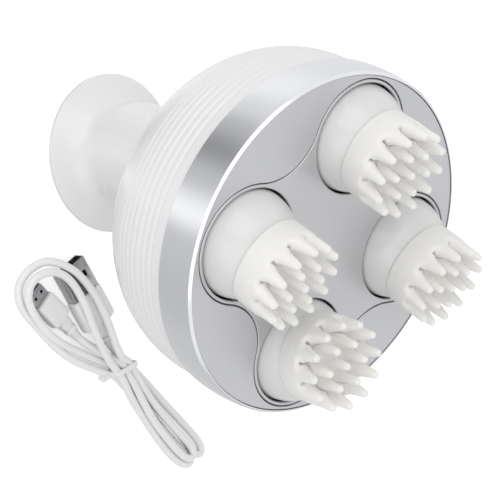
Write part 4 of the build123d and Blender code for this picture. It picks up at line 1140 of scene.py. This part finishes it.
# behind the neck a notch, a ring, and a sleeve that tapers onto the lead: place along the
# relief, and how far it stands out of the lead
RELIEF_SECTIONS = (
    (0.03, 0.45), (0.12, 0.45), (0.16, 0.95), (0.20, 1.05), (0.36, 1.05),
    (0.40, 0.95), (0.44, 0.50), (0.50, 0.50), (0.98, 0.15), (1.00, 0.10),
)

# the route of the lead from its large plug to its small one, in millimetres. On the
# loop's side of the tie a point is (x, y, height); on the tail's side it is (along
# the tail from the tie, across it, height).
LARGE_PLUG_TO_TIE = (
    (1.0, -68.5, 3.1), (2.8, -70.9, 2.9), (5.2, -73.0, 2.3),
)
RIGHT_FOLD = (
    (-0.2, 2.9, 2.0), (4.5, 3.6, 1.8), (12.0, 4.3, 1.5), (22.0, 4.4, 1.5), (32.0, 4.8, 1.5),
    (41.0, 5.2, 1.5), (47.5, 5.3, 1.5), (51.5, 4.6, 1.5), (53.2, 2.6, 1.5), (50.8, 0.7, 1.5),
    (46.0, 1.0, 1.5), (38.0, 1.4, 1.45), (28.0, 1.1, 1.45), (18.0, 0.7, 1.45), (10.0, 0.3, 1.6),
    (3.5, 0.1, 1.9),
)
INNER_TURN = (
    (2.6, -74.8, 2.0), (-3.3, -73.3, 1.7), (-10.2, -70.7, 1.8), (-17.4, -68.0, 2.4),
    (-24.4, -65.2, 3.8), (-30.0, -61.5, 4.3), (-33.9, -57.4, 4.4), (-36.8, -53.8, 4.6),
    (-38.3, -50.1, 4.9), (-37.6, -46.3, 5.0), (-35.4, -43.6, 5.2), (-32.2, -41.9, 5.8),
    (-28.6, -41.5, 6.5), (-24.8, -42.6, 6.9), (-21.0, -45.3, 6.9), (-17.6, -49.7, 7.1),
    (-15.2, -54.1, 7.7), (-12.3, -60.2, 7.7), (-8.6, -66.2, 7.3), (-4.6, -71.0, 6.3),
    (-0.6, -74.7, 5.3),
)
LEFT_FOLD = (
    (0.4, -2.9, 4.8), (4.5, -3.8, 4.5), (9.5, -4.5, 3.4), (15.5, -4.9, 2.2), (23.0, -5.5, 1.5),
    (31.0, -6.5, 1.5), (38.0, -7.0, 1.5), (45.0, -6.7, 1.5), (49.8, -5.2, 1.5), (51.4, -2.8, 1.5),
    (49.4, -1.6, 1.5), (45.0, -2.2, 1.5), (38.0, -2.6, 1.45), (28.0, -2.5, 1.45),
    (18.0, -2.5, 1.45), (10.5, -2.7, 1.45), (4.5, -3.0, 1.6), (0.0, -3.2, 1.9),
)
OUTER_TURN = (
    (-4.0, -76.4, 1.7), (-13.2, -73.3, 1.5), (-20.0, -69.9, 1.5), (-26.1, -65.3, 1.5),
    (-31.1, -60.7, 1.5), (-35.4, -57.0, 1.5), (-38.1, -53.9, 1.5), (-39.7, -50.3, 1.5),
    (-39.8, -46.7, 1.6), (-38.0, -42.9, 2.0), (-34.5, -39.6, 3.0), (-30.3, -37.9, 4.6),
    (-25.5, -38.9, 6.2), (-20.9, -40.9, 7.0), (-16.6, -44.0, 7.0), (-12.2, -48.6, 7.3),
    (-8.5, -54.0, 7.7), (-4.8, -60.4, 7.7), (-1.2, -67.6, 7.3), (2.6, -72.0, 6.2),
)
MIDDLE_FOLD = (
    (-0.8, 2.8, 5.0), (3.5, 2.2, 4.8), (10.0, 1.1, 4.4), (20.0, 0.0, 4.2), (29.0, -0.1, 4.2),
    (37.0, 0.0, 4.2), (43.0, 0.4, 4.2), (47.4, -0.3, 4.2), (48.6, -2.3, 4.2), (46.4, -4.3, 4.2),
    (41.0, -5.0, 4.2), (33.0, -4.9, 4.2), (25.0, -4.6, 4.2), (16.0, -3.0, 4.5), (9.0, -1.5, 4.7),
    (3.0, -0.5, 4.8),
)
TIE_TO_SMALL_PLUG = (
    (4.4, -74.4, 4.8), (1.0, -72.6, 4.3), (-3.0, -70.5, 3.3), (-7.5, -68.2, 2.7),
    (-12.0, -66.0, 2.5), (-14.8, -64.0, 2.5),
)


def from_tail(point):
    """Place on the floor of a point in the tail's own directions."""
    heading = radians(TAIL_HEADING)
    along, across, height = point
    x = TIE_PLACE[0] + along * cos(heading) - across * sin(heading)
    y = TIE_PLACE[1] + along * sin(heading) + across * cos(heading)
    return (x, y, height)


def lead_route():
    """Every point of the lead, in metres."""
    route = [
        *LARGE_PLUG_TO_TIE,
        *map(from_tail, RIGHT_FOLD),
        *INNER_TURN,
        *map(from_tail, LEFT_FOLD),
        *OUTER_TURN,
        *map(from_tail, MIDDLE_FOLD),
        *TIE_TO_SMALL_PLUG,
    ]
    return [Vector(point) * MM for point in route]


def lying(tip, heading, height=0.0):
    """Matrix of a piece on the floor, x running from its tip to the lead."""
    spot = Matrix.Translation((tip[0] * MM, tip[1] * MM, height * MM))
    return spot @ Matrix.Rotation(radians(heading), 4, "Z")


def plug_sections(start, grip, relief, lead_radius):
    """Sections of an overmould: grip, narrower shoulder, sleeve and ribbed relief."""
    long, wide, high = grip[0], grip[1] / 2, grip[2] / 2
    end = start + long
    neck = max(wide * NECK_WIDE, lead_radius + NECK_WALL)
    neck_high = min(high * NECK_HIGH, neck)
    sections = [
        (start, wide * 0.90, high * 0.86, 5),
        (start + 0.25, wide * 0.96, high * 0.94, 5),
        (start + 0.8, wide, high, 5),
        (start + long * 0.62, wide, high, 5),
        (start + long * 0.72, wide * 0.97, high * 0.99, 4.5),
        (start + long * 0.76, neck * 1.12, neck_high * 1.04, 4),
        (start + long * 0.79, neck, neck_high, 3.5),
        (end - 0.5, neck * 0.96, neck_high * 0.96, 3),
        (end, neck * 0.90, neck_high * 0.90, 3),
    ]
    for along, swell in RELIEF_SECTIONS:
        radius = lead_radius + swell
        sections.append((end + relief * along, radius, radius, 2))
    return [(x * MM, y * MM, z * MM, power) for x, y, z, power in sections]


class MASSAGER_OT_plugs(bpy.types.Operator):
    """Build the two plugs of the charging lead"""

    bl_idname = "massager.plugs"
    bl_label = "Plugs"

    def execute(self, context):
        lead_radius = context.scene.massager_lead.diameter / 2 / MM
        for node, name, tip, heading, metal, grip, relief in PLUGS:
            sections = plug_sections(metal, grip, relief, lead_radius)
            place = lying(tip, heading, grip[2] / 2)
            body = add_object(name, lofted_mesh(name, sections, place, PLUG_SIDES))
            seat(body, f"{node}_overmould")
            break_edges(f"{node}_shell", f"{name}_metal", PLUG_EDGE)
        return {"FINISHED"}


class MASSAGER_OT_lead(bpy.types.Operator):
    """Lay the charging lead and its tie"""

    bl_idname = "massager.lead"
    bl_label = "Lead and tie"

    def execute(self, context):
        size = context.scene.massager_lead
        route = lead_route()
        curve, spline = bar("lead", "NURBS", route, size.diameter / 2, 6)
        spline.order_u = 3
        spline.use_endpoint_u = True
        spline.resolution_u = 8
        lead = bpy.data.objects.new("lead", curve)
        context.scene.collection.objects.link(lead)
        seat(lead, "cord_hank")
        tie = self.make_tie(size)
        return {"FINISHED"}

    def make_tie(self, size):
        """The flat band round the bundle, with its twisted end."""
        across = size.tie_span / 2 + size.tie_thickness
        high = size.tie_height + 2 * size.tie_thickness
        corners = ((across, 0), (across, high), (-across, high), (-across, 0))
        outer = rounded([(x, y, TIE_CORNER) for x, y in corners])
        inner = []
        for point in outer:
            centre = Vector((0, high / 2))
            away = point - centre
            shrink = Vector((1 - size.tie_thickness / across, 1 - 2 * size.tie_thickness / high))
            inner.append(centre + away * shrink)
        heading = radians(TIE_HEADING)
        along = Vector((cos(heading), sin(heading), 0))
        up = Vector((0, 0, 1))
        turned = Matrix((up.cross(along), up, along)).transposed().to_4x4()
        start = Vector((*TIE_PLACE, 0)) * MM - along * size.tie_width / 2
        place = Matrix.Translation(start) @ turned
        build = bmesh.new()
        build.from_mesh(flat_mesh("band", [outer, inner], place, size.tie_width, TIE_EDGE, 2))
        for start_angle in (0, pi):
            build.from_mesh(self.twisted_end(size, start_angle))
        mesh = bpy.data.meshes.new("tie")
        build.to_mesh(mesh)
        build.free()
        return seat(add_object("tie", mesh), "cord_tie")

    def twisted_end(self, size, start_angle):
        """One of the two strands that are twisted together beside the bundle."""
        foot, end = (Vector(spot) * MM for spot in (TWIST_FOOT, TWIST_END))
        axis = (end - foot).normalized()
        side = axis.cross(Vector((0, 0, 1))).normalized()
        over = side.cross(axis)
        steps = 32
        spots = []
        for step in range(steps + 1):
            t = step / steps
            angle = start_angle + 2 * pi * TWIST_TURNS * t
            # the strands start close together and soon stand side by side
            reach = size.tie_strand * min(1.0, 0.3 + 2 * t)
            spots.append(foot.lerp(end, t) + (side * cos(angle) + over * sin(angle)) * reach)
        return mesh_of(bar("strand", "POLY", spots, size.tie_strand, 4)[0])


# ---- studio ---------------------------------------------------------------------
CAMERA_PLACE = (-0.36760488, -0.02384500, 0.43903975)
CAMERA_RIGHT = (0.70802361, 0.03104191, 0.70550618)
CAMERA_DOWN = (0.01121949, -0.99940179, 0.03271365)
CAMERA_FORWARD = (0.70609963, -0.01524662, -0.70794834)
AIM = Vector((0.0, -0.03, 0.07))  # what the lamps look at
KEY_PLACE, KEY_SIZE = (-0.60, 0.52, 0.72), 0.9
FILL_PLACE, FILL_SIZE = (-0.63, -0.40, 0.50), 0.7
FLOOR_LIFT = 0.5  # what the camera sees of the floor beside its lit colour
# what gloss sees of the floor: heading from +X in degrees, brightness
GLOW = (
    (0, 0.76), (60, 0.90), (92, 1.05), (112, 0.82), (124, 0.55), (140, 0.34), (158, 0.62),
    (178, 1.15), (192, 0.66), (222, 0.60), (250, 0.66), (360, 0.76),
)
GLOW_REACH = 0.9
GLOW_HEIGHT = 0.05 * MM


def floor_material():
    """Pale floor that reads as white and still takes the shadow."""
    material, tree, shader = new_material("studio_floor")
    shader.inputs["Base Color"].default_value = (0.82, 0.82, 0.82, 1)
    shader.inputs["Roughness"].default_value = 0.9
    shader.inputs["Specular IOR Level"].default_value = 0.0
    shader.inputs["Emission Color"].default_value = (1, 1, 1, 1)
    seen = add_node(tree, "ShaderNodeLightPath").outputs["Is Camera Ray"]
    level = add_node(tree, "ShaderNodeMath", {0: seen, 1: FLOOR_LIFT}, operation="MULTIPLY")
    tree.links.new(level.outputs[0], shader.inputs["Emission Strength"])
    return material


def studio_world(level):
    """White to the camera, in reflections and through clear pieces, and softer as a light."""
    world = bpy.data.worlds.new("studio")
    world.use_nodes = True
    tree = world.node_tree
    sky = tree.nodes["Background"]
    path = add_node(tree, "ShaderNodeLightPath")
    seen = path.outputs["Is Camera Ray"]
    for ray in ("Is Glossy Ray", "Is Transmission Ray"):
        inputs = {0: seen, 1: path.outputs[ray]}
        seen = add_node(tree, "ShaderNodeMath", inputs, operation="MAXIMUM").outputs[0]
    strength = add_node(
        tree, "ShaderNodeMapRange", {"Value": seen, "To Min": level, "To Max": 1.0}
    )
    tree.links.new(strength.outputs["Result"], sky.inputs["Strength"])
    sky.inputs["Color"].default_value = (1, 1, 1, 1)
    return world


def soft_lamp(name, place, size, power):
    """Square soft lamp that looks at the massager."""
    data = bpy.data.lights.new(name, "AREA")
    data.shape = "SQUARE"
    data.size = size
    data.energy = power
    lamp = bpy.data.objects.new(name, data)
    lamp.location = place
    lamp.rotation_euler = (AIM - Vector(place)).to_track_quat("-Z", "Y").to_euler()
    bpy.context.scene.collection.objects.link(lamp)


def flat_sheet(name, corners):
    """Single flat face on the floor."""
    build = bmesh.new()
    build.faces.new([build.verts.new((x, y, 0)) for x, y in corners])
    sheet = add_object(name, mesh_from(name, build))
    return sheet


def floor_glow():
    """Disc on the floor that only glossy surfaces see, lighter and darker by its heading."""
    disc = flat_sheet("floor_glow", circle((0, 0), GLOW_REACH, 64))
    # the gradient starts behind its own -X, so half a turn puts its start at +X
    disc.rotation_euler.z = pi
    disc.location.z = GLOW_HEIGHT
    for ray in ("camera", "diffuse", "transmission", "volume_scatter", "shadow"):
        setattr(disc, "visible_" + ray, False)
    material, tree, shader = new_material("floor_glow")
    disc.data.materials.append(material)
    tree.nodes.remove(shader)
    spot = add_node(tree, "ShaderNodeTexCoord").outputs["Object"]
    heading = add_node(tree, "ShaderNodeTexGradient", {"Vector": spot}, gradient_type="RADIAL")
    ramp = add_node(tree, "ShaderNodeValToRGB", {"Fac": heading.outputs["Fac"]})
    ramp.color_ramp.interpolation = "EASE"
    stops = ramp.color_ramp.elements
    while len(stops) < len(GLOW):
        stops.new(0.5)
    for stop, (degrees, level) in zip(stops, GLOW):
        stop.position = degrees / 360
        stop.color = (level, level, level, 1)
    glow = add_node(tree, "ShaderNodeEmission", {"Color": ramp.outputs["Color"]})
    tree.links.new(glow.outputs[0], tree.nodes["Material Output"].inputs["Surface"])


class MASSAGER_OT_studio(bpy.types.Operator):
    """Set up the floor, the lamps and the camera"""

    bl_idname = "massager.studio"
    bl_label = "Studio"

    def execute(self, context):
        scene = context.scene
        size = scene.massager_studio
        half = size.floor_size / 2
        floor = flat_sheet("floor", ((-half, -half), (half, -half), (half, half), (-half, half)))
        floor.data.materials.append(floor_material())
        scene.world = studio_world(size.sky)
        soft_lamp("key", KEY_PLACE, KEY_SIZE, size.key_power)
        soft_lamp("fill", FILL_PLACE, FILL_SIZE, size.fill_power)
        floor_glow()
        data = bpy.data.cameras.new("camera")
        data.lens = size.lens / MM
        data.sensor_width = 36
        camera = bpy.data.objects.new("camera", data)
        axes = (Vector(CAMERA_RIGHT), -Vector(CAMERA_DOWN), -Vector(CAMERA_FORWARD))
        turned = Matrix(axes).transposed().to_4x4()
        camera.matrix_world = Matrix.Translation(CAMERA_PLACE) @ turned
        scene.collection.objects.link(camera)
        scene.camera = camera
        scene.view_settings.view_transform = "Standard"
        return {"FINISHED"}


# ---- add-on ---------------------------------------------------------------------
SETTINGS = (
    ("massager_handle", MassagerHandleSettings),
    ("massager_body", MassagerBodySettings),
    ("massager_heads", MassagerHeadSettings),
    ("massager_lead", MassagerLeadSettings),
    ("massager_finish", MassagerFinishSettings),
    ("massager_studio", MassagerStudioSettings),
)
OPERATORS = (
    MASSAGER_OT_studio,
    MASSAGER_OT_plugs,
    MASSAGER_OT_lead,
    MASSAGER_OT_handle,
    MASSAGER_OT_handle_end,
    MASSAGER_OT_dome,
    MASSAGER_OT_ring,
    MASSAGER_OT_face,
    MASSAGER_OT_cups,
    MASSAGER_OT_claw_caps,
    MASSAGER_OT_workings,
)


class MASSAGER_PT_panel(bpy.types.Panel):
    """Buttons that build the massager piece by piece"""

    bl_idname = "MASSAGER_PT_panel"
    bl_label = "Massager"
    bl_space_type = "VIEW_3D"
    bl_region_type = "UI"
    bl_category = "Massager"

    def draw(self, context):
        for kind in OPERATORS:
            self.layout.operator(kind.bl_idname)
        for name, group in SETTINGS:
            box = self.layout.box()
            for key in group.__annotations__:
                box.prop(getattr(context.scene, name), key)


def register():
    for _, group in SETTINGS:
        bpy.utils.register_class(group)
    for kind in (*OPERATORS, MASSAGER_PT_panel):
        bpy.utils.register_class(kind)
    for name, group in SETTINGS:
        setattr(bpy.types.Scene, name, PointerProperty(type=group))


def unregister():
    for name, _ in SETTINGS:
        delattr(bpy.types.Scene, name)
    for kind in (MASSAGER_PT_panel, *reversed(OPERATORS)):
        bpy.utils.unregister_class(kind)
    for _, group in reversed(SETTINGS):
        bpy.utils.unregister_class(group)


def main():
    register()
    for kind in OPERATORS:
        step = kind.bl_idname.split(".")[1]
        if getattr(bpy.ops.massager, step)() != {"FINISHED"}:
            raise RuntimeError(f"{kind.bl_label} did not finish")


if __name__ == "__main__":
    main()
